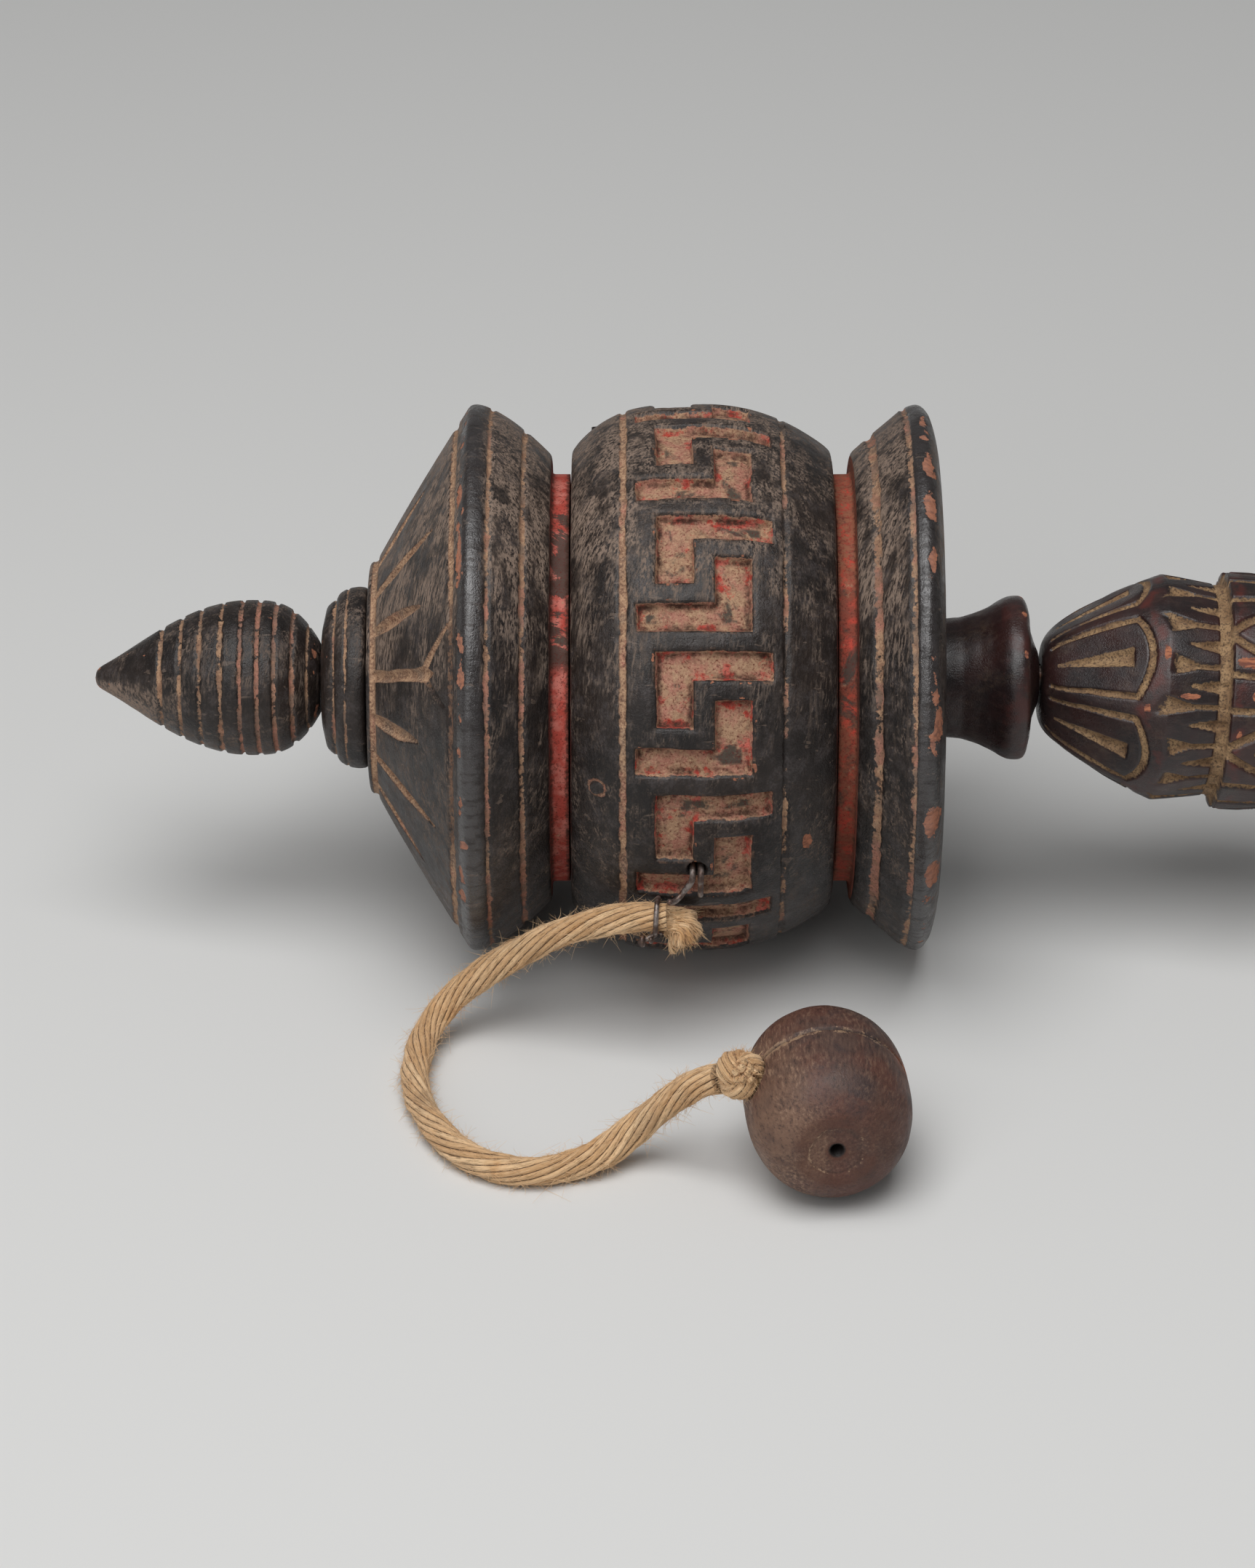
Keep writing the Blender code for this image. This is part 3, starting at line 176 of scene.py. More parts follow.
def length_along(points):
    """How far each point is from the first, along them."""
    return np.concatenate([[0], np.cumsum(np.linalg.norm(np.diff(points, axis=0), axis=1))])


def softened(values, times):
    """Values smoothed along their first axis, ends kept."""
    values = values.copy()
    for _ in range(times):
        values[1:-1] = (values[:-2] + 2 * values[1:-1] + values[2:]) / 4
    return values


def unit(vector):
    """The direction of a vector."""
    return np.array(vector) / np.linalg.norm(vector)


# ------------------------------------------------------------------ turned and carved solids
def resample(outline, step, soften):
    """Points along an outline, spaced by step (a length, or a length at each x), corners rounded."""
    points = np.array(outline, dtype=float)
    along = length_along(points)
    if callable(step):
        fine = np.linspace(0, along[-1], 4000)
        density = 1 / step(np.interp(fine, along, points[:, 0]))
        count = np.concatenate([[0], np.cumsum((density[1:] + density[:-1]) / 2 * np.diff(fine))])
        target = np.interp(np.linspace(0, count[-1], int(round(count[-1]))), count, fine)
    else:
        target = np.linspace(0, along[-1], max(4, int(round(along[-1] / step))))
    even = np.stack([np.interp(target, along, points[:, k]) for k in (0, 1)], axis=1)
    return softened(even, soften)


class Grid:
    """A turned surface as rows along the spindle and columns round it, ready to be carved."""

    def __init__(self, outline, step, columns, soften=2):
        line = resample(outline, step, soften)
        slope = np.gradient(line, axis=0)
        slope /= np.hypot(slope[:, 0], slope[:, 1])[:, None] + 1e-12
        self.normal_x = -slope[:, 1][:, None]
        self.normal_r = slope[:, 0][:, None]
        self.angle = (2 * math.pi * np.arange(columns) / columns)[None, :]
        self.x = np.repeat(line[:, :1], columns, axis=1)
        self.r = np.repeat(line[:, 1:], columns, axis=1)
        self.depth = np.zeros_like(self.x)
        self.masks = {}

    def points(self):
        """Places before carving."""
        return np.stack([self.x, -self.r * np.cos(self.angle), self.r * np.sin(self.angle)], axis=-1)

    def noise(self, size, seed, octaves=2):
        return noise(self.points(), size, seed, octaves)

    def beside(self, angle, step=2 * math.pi):
        """Distance round the spindle from an angle, or from the nearest of a ring of angles."""
        return self.r * wrap_angle(self.angle - angle, step)

    def spot(self, x, degrees, long, wide):
        """1 at a place, soon nothing beyond its half sizes along the spindle and round it."""
        return bell(self.x - x, long) * bell(self.beside(math.radians(degrees)), wide)

    def mark(self, name, value):
        """Raise a mask to at least value."""
        old = self.masks.get(name, np.zeros_like(self.x))
        self.masks[name] = np.maximum(old, np.broadcast_to(value, self.x.shape))

    def sink(self, amount):
        self.depth = np.maximum(self.depth, amount)

    def wear(self, amount, size, seed):
        """Uneven hand finish, a little in and out."""
        self.depth = self.depth + amount * self.noise(size, seed, 3)

    def cut(self, distance, depth, floor, filling, where=1, name="line"):
        """Sink a line and mark what fills it; floor and filling each give its half width and wall."""
        self.sink(depth * trench(distance, *floor) * where)
        self.mark(name, trench(distance, *filling) * where)

    def line(self, distance, width, depth, seed, name="line", faint=0.35):
        """A chiselled or turned line where distance is small, with a wavering depth and edge."""
        waver = self.noise(0.0035, seed)
        pressed = np.clip(1 + faint * waver, 0.2, 1.4)
        near = np.abs(distance) / (1 + 0.25 * waver + 0.3 * self.noise(0.0009, seed + 300, 1))
        self.cut(near, depth * pressed, (0.25 * width, 0.45 * width), (0.38 * width, 0.28 * width), name=name)

    def carved(self):
        x = self.x - self.normal_x * self.depth
        r = np.maximum(self.r - self.normal_r * self.depth, 0.00002)
        return np.stack([x, -r * np.cos(self.angle), r * np.sin(self.angle)], axis=-1)


def ring_rows(keys, columns, lift=()):
    """Plain rows at (x, radius); lift raises each row's middle."""
    angle = 2 * math.pi * np.arange(columns) / columns
    lifts = list(lift) + [0] * (len(keys) - len(lift))
    return np.stack([np.stack([np.full(columns, x), -r * np.cos(angle), r * np.sin(angle) + up], axis=-1)
                     for (x, r), up in zip(keys, lifts)])


def closed_faces(points, loop):
    """Corners, quads and end fans of a closed surface made of rows of points, facing outwards."""
    rows, columns, _ = points.shape
    corners = points.reshape(-1, 3)
    ids = np.arange(rows * columns).reshape(rows, columns)
    upper = ids if loop else ids[:-1]
    lower = np.roll(ids, -1, axis=0) if loop else ids[1:]
    quads = np.stack([upper, np.roll(upper, -1, axis=1), np.roll(lower, -1, axis=1), lower],
                     axis=-1).reshape(-1, 4)
    fans = np.zeros((0, 3), dtype=int)
    if not loop:
        corners = np.concatenate([corners, [points[0].mean(axis=0), points[-1].mean(axis=0)]])
        first = np.stack([np.roll(ids[0], -1), ids[0], np.full(columns, rows * columns)], axis=-1)
        last = np.stack([ids[-1], np.roll(ids[-1], -1), np.full(columns, rows * columns + 1)], axis=-1)
        fans = np.concatenate([first, last])
    centred = corners - corners.mean(axis=0)
    a, b, c, d = (centred[quads[:, k]] for k in range(4))
    volume = np.einsum("ij,ij->", a, np.cross(b, c)) + np.einsum("ij,ij->", a, np.cross(c, d))
    if volume < 0:
        quads, fans = quads[:, ::-1], fans[:, ::-1]
    return corners, quads, fans


def grid_mesh(name, grids):
    """One smooth mesh of closed surfaces, each given as (rows of points, masks, loop)."""
    corners, loops, sizes, values = [], [], [], {}
    count = 0
    for points, masks, loop in grids:
        own, quads, fans = closed_faces(points, loop)
        corners.append(own)
        loops += [quads.ravel() + count, fans.ravel() + count]
        sizes += [np.full(len(quads), 4), np.full(len(fans), 3)]
        for mask, value in masks.items():
            values.setdefault(mask, []).append((count, value.ravel()))
        count += len(own)
    size = np.concatenate(sizes)
    mesh = bpy.data.meshes.new(name)
    mesh.vertices.add(count)
    mesh.vertices.foreach_set("co", np.concatenate(corners).astype(np.float32).ravel())
    mesh.loops.add(int(size.sum()))
    mesh.loops.foreach_set("vertex_index", np.concatenate(loops).astype(np.int32))
    mesh.polygons.add(len(size))
    mesh.polygons.foreach_set("loop_start", (np.cumsum(size) - size).astype(np.int32))
    mesh.polygons.foreach_set("loop_total", size.astype(np.int32))
    mesh.polygons.foreach_set("use_smooth", np.ones(len(size), dtype=bool))
    mesh.update(calc_edges=True)
    for mask, stretches in values.items():
        full = np.zeros(count, dtype=np.float32)
        for start, value in stretches:
            full[start:start + len(value)] = value
        mesh.attributes.new(mask, "FLOAT", "POINT").data.foreach_set("value", full)
    return mesh


def add_piece(name, mesh, material, body, slot, *nodes, place=SPINDLE):
    """Link a piece, let it ride on a CAD body and stand for its CAD nodes."""
    mesh.transform(place)
    mesh.materials.append(material)
    obj = new_object(name, mesh)
    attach(obj, body)
    if nodes:
        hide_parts(*nodes)
    return obj


def carved_piece(grid, inside, loop, material, body, slot, node):
    """Close a carved grid with its plain inner rows and make it the piece for a CAD node."""
    rows = grid.carved()
    if inside:
        rows = np.concatenate([rows, ring_rows(inside, rows.shape[1])])
    add_piece("visual_" + node, grid_mesh(node, [(rows, grid.masks, loop)]), material, body, slot, node)


# ------------------------------------------------------------------ lines, wires and cords
def smooth_route(points, spacing):
    """Points at an even spacing along a Catmull-Rom curve through the given ones."""
    knots = np.array([tuple(point) for point in points], dtype=float)
    knots = np.concatenate([[2 * knots[0] - knots[1]], knots, [2 * knots[-1] - knots[-2]]])
    t = np.linspace(0, 1, 24, endpoint=False)[:, None]
    dense = [0.5 * (2 * b + (c - a) * t + (2 * a - 5 * b + 4 * c - d) * t * t
                    + (3 * b - a - 3 * c + d) * t ** 3)
             for a, b, c, d in zip(knots, knots[1:], knots[2:], knots[3:])]
    dense = np.concatenate(dense + [knots[-2:-1]])
    along = length_along(dense)
    target = np.linspace(0, along[-1], max(3, int(round(along[-1] / spacing)) + 1))
    return np.stack([np.interp(target, along, dense[:, k]) for k in range(3)], axis=1)


def carried_frames(route):
    """Direction and two sides at each point of a route, turning as little as they can."""
    tangent = np.gradient(route, axis=0)
    tangent /= np.linalg.norm(tangent, axis=1)[:, None]
    first = np.cross(tangent[0], (0, 0, 1))
    if np.linalg.norm(first) < 0.05:
        first = np.cross(tangent[0], (0, 1, 0))
    sides = [unit(first)]
    for direction in tangent[1:]:
        sides.append(unit(sides[-1] - direction * np.dot(sides[-1], direction)))
    sides = np.array(sides)
    return tangent, sides, np.cross(tangent, sides)


def tube_points(route, radius, columns, lobes=0, lobe_depth=0, pitch=1, rough=0, seed=0):
    """Rows of points round a route, and the masks for its yarns; each yarn turns once in a pitch."""
    _, side, other = carried_frames(route)
    angle = (2 * math.pi * np.arange(columns) / columns)[None, :]
    run = length_along(route)[:, None] + 0 * angle
    width = np.broadcast_to(np.asarray(radius, dtype=float).reshape(-1, 1), run.shape).copy()
    masks = {}
    if lobes:
        wander = noise(np.stack([run, np.cos(angle) + 0 * run, np.sin(angle) + 0 * run], axis=-1),
                       (0.009, 1.1, 1.1), seed + 7)
        twist = angle - 2 * math.pi * run / pitch + 0.55 / lobes * 2 * wander
        turns = lobes * twist / (2 * math.pi)
        index = np.floor(turns)
        part = 2 * np.abs(turns - index - 0.5)
        yarn = index % lobes
        own = noise(np.stack([yarn * 3, run / 0.011, 0 * run], axis=-1), 1, seed + 9)
        shade = noise(np.stack([yarn * 5, run / 0.017, 0 * run + 3], axis=-1), 1, seed + 11)
        width += lobe_depth * (0.55 * own * (1 - part ** 4) - (1 - np.sqrt(1 - 0.96 * part ** 2)))
        masks = {"strand": 1 - part ** 5, "tone": 0.5 + 0.6 * shade, "run": run,
                 "turn_x": width * np.cos(twist), "turn_y": width * np.sin(twist)}
    if rough:
        flat = np.stack([run, width * np.cos(angle), width * np.sin(angle)], axis=-1)
        width += rough * noise(flat, (0.0026, 0.0008, 0.0008), seed, 3)
    points = (route[:, None, :] + side[:, None, :] * (width * np.cos(angle))[..., None]
              + other[:, None, :] * (width * np.sin(angle))[..., None])
    return points, masks


def round_ends(route, radius):
    """Radii along a route that close its two ends in a dome."""
    along = length_along(route)
    near_end = share(np.minimum(along, along[-1] - along) / radius)
    return radius * np.sqrt(share(1 - (1 - near_end) ** 2)) + 0.00002


# ------------------------------------------------------------------ material nodes
class Nodes:
    """Short names for the node set-ups that the materials share."""

    def __init__(self, name):
        self.material = bpy.data.materials.new(name)
        self.material.use_nodes = True
        self.tree = self.material.node_tree
        self.shader = self.tree.nodes["Principled BSDF"]
        self.coords = self.node("TexCoord", {}).outputs["Object"]

    def put(self, socket, value):
        if isinstance(value, bpy.types.NodeSocket):
            self.tree.links.new(value, socket)
        elif isinstance(value, tuple) and socket.type == "RGBA":
            socket.default_value = (*value, 1)
        else:
            socket.default_value = value

    def node(self, kind, inputs, **settings):
        """A shader node with its settings, and a value or a link for each input that is given."""
        node = self.tree.nodes.new("ShaderNode" + kind)
        for key, value in settings.items():
            setattr(node, key, value)
        for key, value in inputs.items():
            self.put(node.inputs[key], value)
        return node

    def grain(self, lengths, turn=(0, 0, 0)):
        """Coordinates for a texture drawn out by lengths along axes that turn tilts."""
        inputs = {"Vector": self.coords, "Rotation": turn, "Scale": lengths}
        return self.node("Mapping", inputs, vector_type="TEXTURE").outputs["Vector"]

    def noise(self, scale, detail=4, roughness=0.55, vector=None, distortion=0):
        inputs = {"Scale": scale, "Detail": detail, "Roughness": roughness, "Distortion": distortion,
                  "Vector": vector or self.coords}
        return self.node("TexNoise", inputs).outputs["Fac"]

    def ramp(self, factor, low, high, start=0, end=1):
        inputs = dict(enumerate((factor, low, high, start, end)))
        return self.node("MapRange", inputs, interpolation_type="SMOOTHSTEP").outputs["Result"]

    def spots(self, texture, *limits):
        """A noise, given as its scale, detail and so on, with its ramp's limits."""
        return self.ramp(self.noise(*texture), *limits)

    def math(self, operation, first, second=0, clamp=False):
        return self.node("Math", {0: first, 1: second}, operation=operation, use_clamp=clamp).outputs[0]

    def add(self, first, second, clamp=False):
        return self.math("ADD", first, second, clamp)

    def scaled(self, first, second):
        return self.math("MULTIPLY", first, second)

    def most(self, first, second, clamp=False):
        return self.math("MAXIMUM", first, second, clamp)

    def times(self, *factors):
        """The product of factors, kept between 0 and 1."""
        product = factors[0]
        for factor in factors[1:]:
            product = self.math("MULTIPLY", product, factor, True)
        return product

    def mix(self, factor, first, second):
        return self.node("Mix", {0: factor, 6: first, 7: second}, data_type="RGBA").outputs[2]

    def attribute(self, name):
        return self.node("Attribute", {}, attribute_name=name).outputs["Fac"]

    def ragged(self, name, rough, reach, low, high):
        """A mask whose edge a noise breaks up."""
        return self.ramp(self.add(self.attribute(name), self.ramp(rough, 0.3, 0.7, -reach, reach)), low, high)

    def around(self, radius, squeeze):
        """Coordinates that run along the spindle, round it, drawn out by 1 / squeeze, and out of it."""
        x, y, z = self.node("SeparateXYZ", {0: self.coords}).outputs
        up = self.math("SUBTRACT", z, AXIS_Z)
        turn = self.math("ARCTAN2", up, self.scaled(y, -1))
        out = self.math("SQRT", self.add(self.scaled(up, up), self.scaled(y, y)))
        return self.node("CombineXYZ", {0: x, 1: self.scaled(turn, radius * squeeze), 2: out}).outputs[0]

    def bumps(self, *reliefs):
        """Fine relief of several heights, each with its size in metres and its strength."""
        link = {}
        for height, distance, strength in reliefs:
            bump = self.node("Bump", {"Height": height, "Distance": distance, "Strength": strength, **link})
            link = {"Normal": bump.outputs["Normal"]}
        return bump.outputs["Normal"]

    def finish(self, colour, roughness, normal, metallic=0, specular=0.5):
        for key, value in (("Base Color", colour), ("Roughness", roughness), ("Metallic", metallic),
                           ("Specular IOR Level", specular), ("Normal", normal)):
            self.put(self.shader.inputs[key], value)
        return self.material


BLACK = (0.0115, 0.009, 0.0085)
BLACK_WARM = (0.0215, 0.015, 0.0125)
SCUFF = (0.053, 0.044, 0.043)
PATINA = (0.158, 0.115, 0.09)
PALE_DUST = (0.275, 0.198, 0.152)
TAN = (0.4, 0.245, 0.15)
PINK_TAN = (0.385, 0.172, 0.122)
PAINTED_SHEEN = (0.027, 0.022, 0.022)
GRAIN_AND_SHADE_BROWN = (0.1, 0.052, 0.034)
GRIME_AND_SHADE = (0.052, 0.021, 0.013)
RED = (0.41, 0.045, 0.03)
PALE_RED = (0.52, 0.135, 0.1)
DEEP_RED = (0.11, 0.018, 0.012)
LID_RED = (0.44, 0.066, 0.046)
LID_PALE_RED = (0.57, 0.17, 0.132)
BASE_RED = (0.5, 0.062, 0.038)
BASE_BROWN_RED = (0.24, 0.056, 0.034)
RUST = (0.285, 0.105, 0.058)
EARTH = (0.235, 0.128, 0.08)
SAND = (0.54, 0.355, 0.22)
STAIN = (0.052, 0.046, 0.037)
ORANGE = (0.375, 0.15, 0.085)
DARK_ORANGE = (0.215, 0.088, 0.055)
MAROON_BLACK = (0.015, 0.0098, 0.0102)
MAROON_RED = (0.036, 0.0135, 0.012)
MAROON_FIBRE = (0.06, 0.034, 0.027)
MAROON_HAZE = (0.12, 0.08, 0.055)
MAROON_EDGE = (0.085, 0.017, 0.012)
CUT_SAND = (0.345, 0.218, 0.112)
CUT_BROWN = (0.205, 0.118, 0.058)
CUT_GRAINS = (0.062, 0.036, 0.022)
CUT_SHADE = (0.075, 0.042, 0.024)
CHIP_ORANGE = (0.42, 0.155, 0.08)
CHIP_BROWN = (0.165, 0.056, 0.036)
WORN_RED = (0.108, 0.046, 0.034)
WORN_GREY = (0.086, 0.05, 0.04)
WORN_DARK = (0.043, 0.031, 0.032)
WORN_PALE = (0.182, 0.102, 0.068)
WORN_STREAK = (0.28, 0.172, 0.114)
WORN_PORE = (0.026, 0.017, 0.015)
WORN_RUST = (0.092, 0.034, 0.02)
WORN_ORANGE = (0.33, 0.095, 0.04)
SEAM_DUST = (0.3, 0.19, 0.12)
DARK_LINES_AND_SHADE = (0.01, 0.007, 0.006)
STRAW_DULL = (0.645, 0.392, 0.196)
STRAW = (0.88, 0.605, 0.35)
STRAW_ORANGE = (0.64, 0.335, 0.13)
STRAW_GREY = (0.21, 0.145, 0.095)
FIBRE_DARK = (0.23, 0.13, 0.055)
FIBRE_PALE = (0.9, 0.7, 0.46)
AMBER = (0.52, 0.225, 0.06)
YARN_GAP_SHADE = (0.11, 0.058, 0.026)
IRON_BROWN = (0.115, 0.08, 0.068)
IRON_BRIGHT = (0.33, 0.29, 0.27)
IRON_RUST = (0.16, 0.075, 0.045)
DRUM_GRAIN = (math.radians(-30), math.radians(9), 0)   # it runs across the spindle


def painted_wood(name, patina=1, gloss=0.33, pigment_tan=0.5, line_pink=0.5, stain_edge=0.1,
                 reds=(RED, PALE_RED)):
    """Black lacquer with dusty strokes, sand in the cuts, red pigment in the sunk parts, and chips.

    patina scales the dust, pigment_tan is how much of the red has worn to tan, line_pink is how
    much of the lines is pink rather than tan, and stain_edge is how soft the dark stains end.
    """
    n = Nodes(name)
    grain = n.grain((1, 1, 5), DRUM_GRAIN)
    lengthwise = n.grain((5, 1, 1))
    turned = n.around(RIM, 0.06)
    ragged = n.noise(1100, 5, 0.7)
    grains = n.noise(2500, 3, 0.7)
    dark_grains = n.ramp(grains, 0.47, 0.34, 0, 0.8)

    base = n.mix(n.spots((75, 3), 0.38, 0.68), BLACK, BLACK_WARM)
    scuff = n.times(n.spots((300, 6, 0.7), 0.46, 0.64, 0, 0.85), n.ramp(grains, 0.38, 0.6, 0.25, 1))
    base = n.mix(scuff, base, SCUFF)
    dust = n.attribute("dust")
    settled = n.scaled(dust, 0.135 * patina)
    strokes = n.ramp(n.add(n.noise(2500, 4, 0.7, grain), settled), 0.54, 0.69)
    soft = n.ramp(n.add(n.noise(430, 4, 0.65, grain), settled), 0.5, 0.66, 0.15, 1)
    cloud = n.ramp(n.add(n.noise(125, 5, 0.65), settled), 0.48, 0.64, 0.15, 1)
    lathe = n.spots((1300, 3, 0.6, turned), 0.46, 0.68, 0, 0.75)
    dusty = n.times(n.most(n.times(strokes, soft), n.times(lathe, soft, 0.65)), cloud, 0.88)
    colour = n.mix(dusty, base, n.mix(n.ramp(dust, 0.6, 1), PATINA, PALE_DUST))
    # Polish makes the rims smoother and shinier, and also lifts their colour towards a painted sheen.
    polished = n.times(n.attribute("polish_and_sheen"), n.spots((900, 4, 0.65, lengthwise), 0.34, 0.58, 0.35, 1))
    colour = n.mix(polished, colour, PAINTED_SHEEN)
    scratch = n.spots((800, 3, 0.6, lengthwise), 0.645, 0.69, 0, 0.5)
    colour = n.mix(n.times(scratch, ragged), colour, PALE_DUST)
    rubbed = n.times(n.attribute("edge"), n.ramp(ragged, 0.46, 0.62), n.spots((170, 4), 0.46, 0.62, 0, 0.8))
    colour = n.mix(rubbed, colour, EARTH)

    middle = n.attribute("middle")
    blotch = n.add(n.noise(260, 6, 0.7), n.scaled(middle, 0.08))
    worn = n.ramp(blotch, 0.7 - 0.3 * pigment_tan, 0.8 - 0.3 * pigment_tan)
    tan = n.mix(n.spots((320, 5, 0.65), 0.4, 0.62), TAN, PINK_TAN)
    tan = n.mix(n.spots((950, 4, 0.65), 0.46, 0.66, 0, 0.65), tan, EARTH)
    ground = n.mix(worn, n.mix(n.spots((420, 4), 0.42, 0.64), *reds), tan)
    ground = n.mix(n.times(worn, n.ramp(grains, 0.54, 0.68, 0, 0.6)), ground, SAND)
    stain = n.spots((125, 6, 0.7, None, 0.5), 0.5, 0.5 + stain_edge, 0, 0.92)
    ground = n.mix(n.times(stain, n.ramp(middle, 0.45, 0.9)), ground, STAIN)
    ground = n.mix(dark_grains, ground, DEEP_RED)
    # Grime and painted shade darken the sunk ground near its walls and corners.
    ground = n.mix(n.ragged("grime_and_shade", ragged, 0.22, 0.12, 0.85), ground, GRIME_AND_SHADE)
    ground = n.mix(n.times(n.attribute("rust"), n.spots((1500, 4, 0.7), 0.38, 0.6)), ground, RUST)
    pigment = n.ragged("pigment", ragged, 0.2, 0.4, 0.6)
    colour = n.mix(pigment, colour, ground)

    pink = n.add(n.attribute("pink"), n.spots((95, 3), 0.35, 0.65, line_pink - 0.6, line_pink + 0.4))
    filling = n.mix(n.ramp(pink, 0.35, 0.65), TAN, PINK_TAN)
    filling = n.mix(n.spots((620, 5, 0.7), 0.4, 0.6, 0, 0.85), filling, EARTH)
    filling = n.mix(n.spots((210, 5, 0.6), 0.46, 0.66, 0, 0.7), filling, PATINA)
    filling = n.mix(dark_grains, filling, GRAIN_AND_SHADE_BROWN)
    uneven = n.ramp(ragged, 0.3, 0.7, -0.34, 0.34)
    patchy = n.spots((190, 4, 0.6), 0.34, 0.58, -0.46, 0.04)
    thin = n.ramp(n.add(n.add(n.attribute("line"), uneven), patchy), 0.42, 0.74)
    colour = n.mix(thin, colour, filling)
    sand = n.attribute("sand")
    broad = n.ramp(n.add(sand, n.scaled(uneven, 0.5)), 0.36, 0.56)
    filled = n.mix(n.ramp(grains, 0.48, 0.64, 0, 0.6), filling, SAND)
    # The sand fill darkens to brown at its edges as painted shade on the cut walls.
    colour = n.mix(broad, colour, n.mix(n.ramp(sand, 0.45, 0.92, 0.7, 0), filled, GRAIN_AND_SHADE_BROWN))

    flaked = n.ragged("chip", ragged, 0.16, 0.49, 0.53)
    bare = n.mix(n.spots((1500, 3, 0.6, lengthwise), 0.42, 0.66), ORANGE, DARK_ORANGE)
    colour = n.mix(flaked, colour, bare)
    matt = n.most(n.most(n.most(dusty, pigment), n.most(thin, broad), True), flaked)
    rough = n.add(n.spots((340, 4), 0.32, 0.68, gloss - 0.06, gloss + 0.1), n.scaled(matt, 0.5), True)
    rough = n.math("SUBTRACT", rough, n.scaled(polished, 0.15), True)
    normal = n.bumps((n.noise(1500, 4, 0.65, grain), 0.00016, 0.55),
                     (n.noise(1600, 3, 0.6, turned), 0.0001, 0.35),
                     (grains, 0.00014, 0.85), (n.scaled(flaked, -1), 0.00012, 0.8))
    return n.finish(colour, rough, normal, specular=n.ramp(polished, 0, 1, 0.36, 1))


def maroon_wood(name, gloss=0.3):
    """Dark red-brown wood polished by hands, with sandy dust in the cuts."""
    n = Nodes(name)
    along = n.grain((5, 1, 1))
    ragged = n.noise(1100, 5, 0.7)
    base = n.mix(n.spots((95, 4), 0.36, 0.66), MAROON_BLACK, MAROON_RED)
    base = n.mix(n.spots((1300, 3, 0.6, along), 0.5, 0.74, 0, 0.45), base, MAROON_FIBRE)
    haze = n.times(n.spots((210, 4, 0.6), 0.48, 0.72, 0, 0.35), n.ramp(ragged, 0.35, 0.65))
    base = n.mix(haze, base, MAROON_HAZE)
    edge = n.times(n.attribute("edge"), n.spots((260, 4), 0.42, 0.62))
    base = n.mix(edge, base, MAROON_EDGE)
    dust = n.mix(n.spots((380, 4), 0.36, 0.64), CUT_SAND, CUT_BROWN)
    dust = n.mix(n.spots((2600, 4, 0.7), 0.47, 0.62, 0, 0.85), dust, CUT_GRAINS)
    dust = n.mix(n.ramp(n.attribute("line"), 0.5, 0.95, 0.55, 0), dust, CUT_SHADE)
    sandy = n.ragged("line", ragged, 0.36, 0.4, 0.64)
    chip = n.ragged("chip", ragged, 0.16, 0.49, 0.53)
    bare = n.mix(n.spots((1500, 3, 0.6, along), 0.42, 0.62), CHIP_ORANGE, CHIP_BROWN)
    colour = n.mix(chip, n.mix(sandy, base, dust), bare)
    rough = n.add(n.spots((260, 4), 0.32, 0.68, gloss - 0.05, gloss + 0.12),
                  n.scaled(n.most(sandy, chip), 0.55), True)
    normal = n.bumps((n.noise(1000, 4, 0.6, along), 0.00012, 0.45), (n.noise(3400, 3, 0.7), 0.00008, 0.8))
    return n.finish(colour, rough, normal, specular=0.55)


def worn_wood(name):
    """Bare brown wood, handled grey and purple, with pale streaks along its grain."""
    n = Nodes(name)
    hair = n.noise(2000, 4, 0.7, n.grain((1, 5, 1)))
    pale = n.attribute("pale")
    base = n.mix(n.spots((110, 4), 0.38, 0.62), WORN_RED, WORN_GREY)
    base = n.mix(n.spots((150, 4, 0.6, None, 0.5), 0.54, 0.7, 0, 0.8), base, WORN_DARK)
    base = n.mix(n.times(pale, n.spots((170, 4), 0.36, 0.6, 0.3, 1)), base, WORN_PALE)
    streak = n.times(n.ramp(hair, 0.49, 0.66), n.spots((120, 4), 0.36, 0.62, 0.1, 1))
    colour = n.mix(n.times(streak, n.add(0.45, pale, True)), base, WORN_STREAK)
    colour = n.mix(n.times(n.ramp(hair, 0.48, 0.34), 0.6), colour, WORN_PORE)
    rust = n.times(n.attribute("rust"), n.spots((330, 4), 0.34, 0.56, 0.4, 1))
    colour = n.mix(rust, colour, WORN_RUST)
    colour = n.mix(n.times(n.attribute("orange"), n.spots((800, 4), 0.4, 0.56)), colour, WORN_ORANGE)
    colour = n.mix(n.ragged("line", n.noise(1300, 5, 0.7), 0.35, 0.42, 0.62), colour, SEAM_DUST)
    # Dark seams and cracks, and painted shade in the front hole and under the knot.
    colour = n.mix(n.attribute("dark"), colour, DARK_LINES_AND_SHADE)
    normal = n.bumps((hair, 0.00016, 0.7), (n.noise(3600, 2), 0.00008, 0.7))
    return n.finish(colour, n.spots((300, 4), 0.3, 0.7, 0.46, 0.66), normal, specular=0.38)


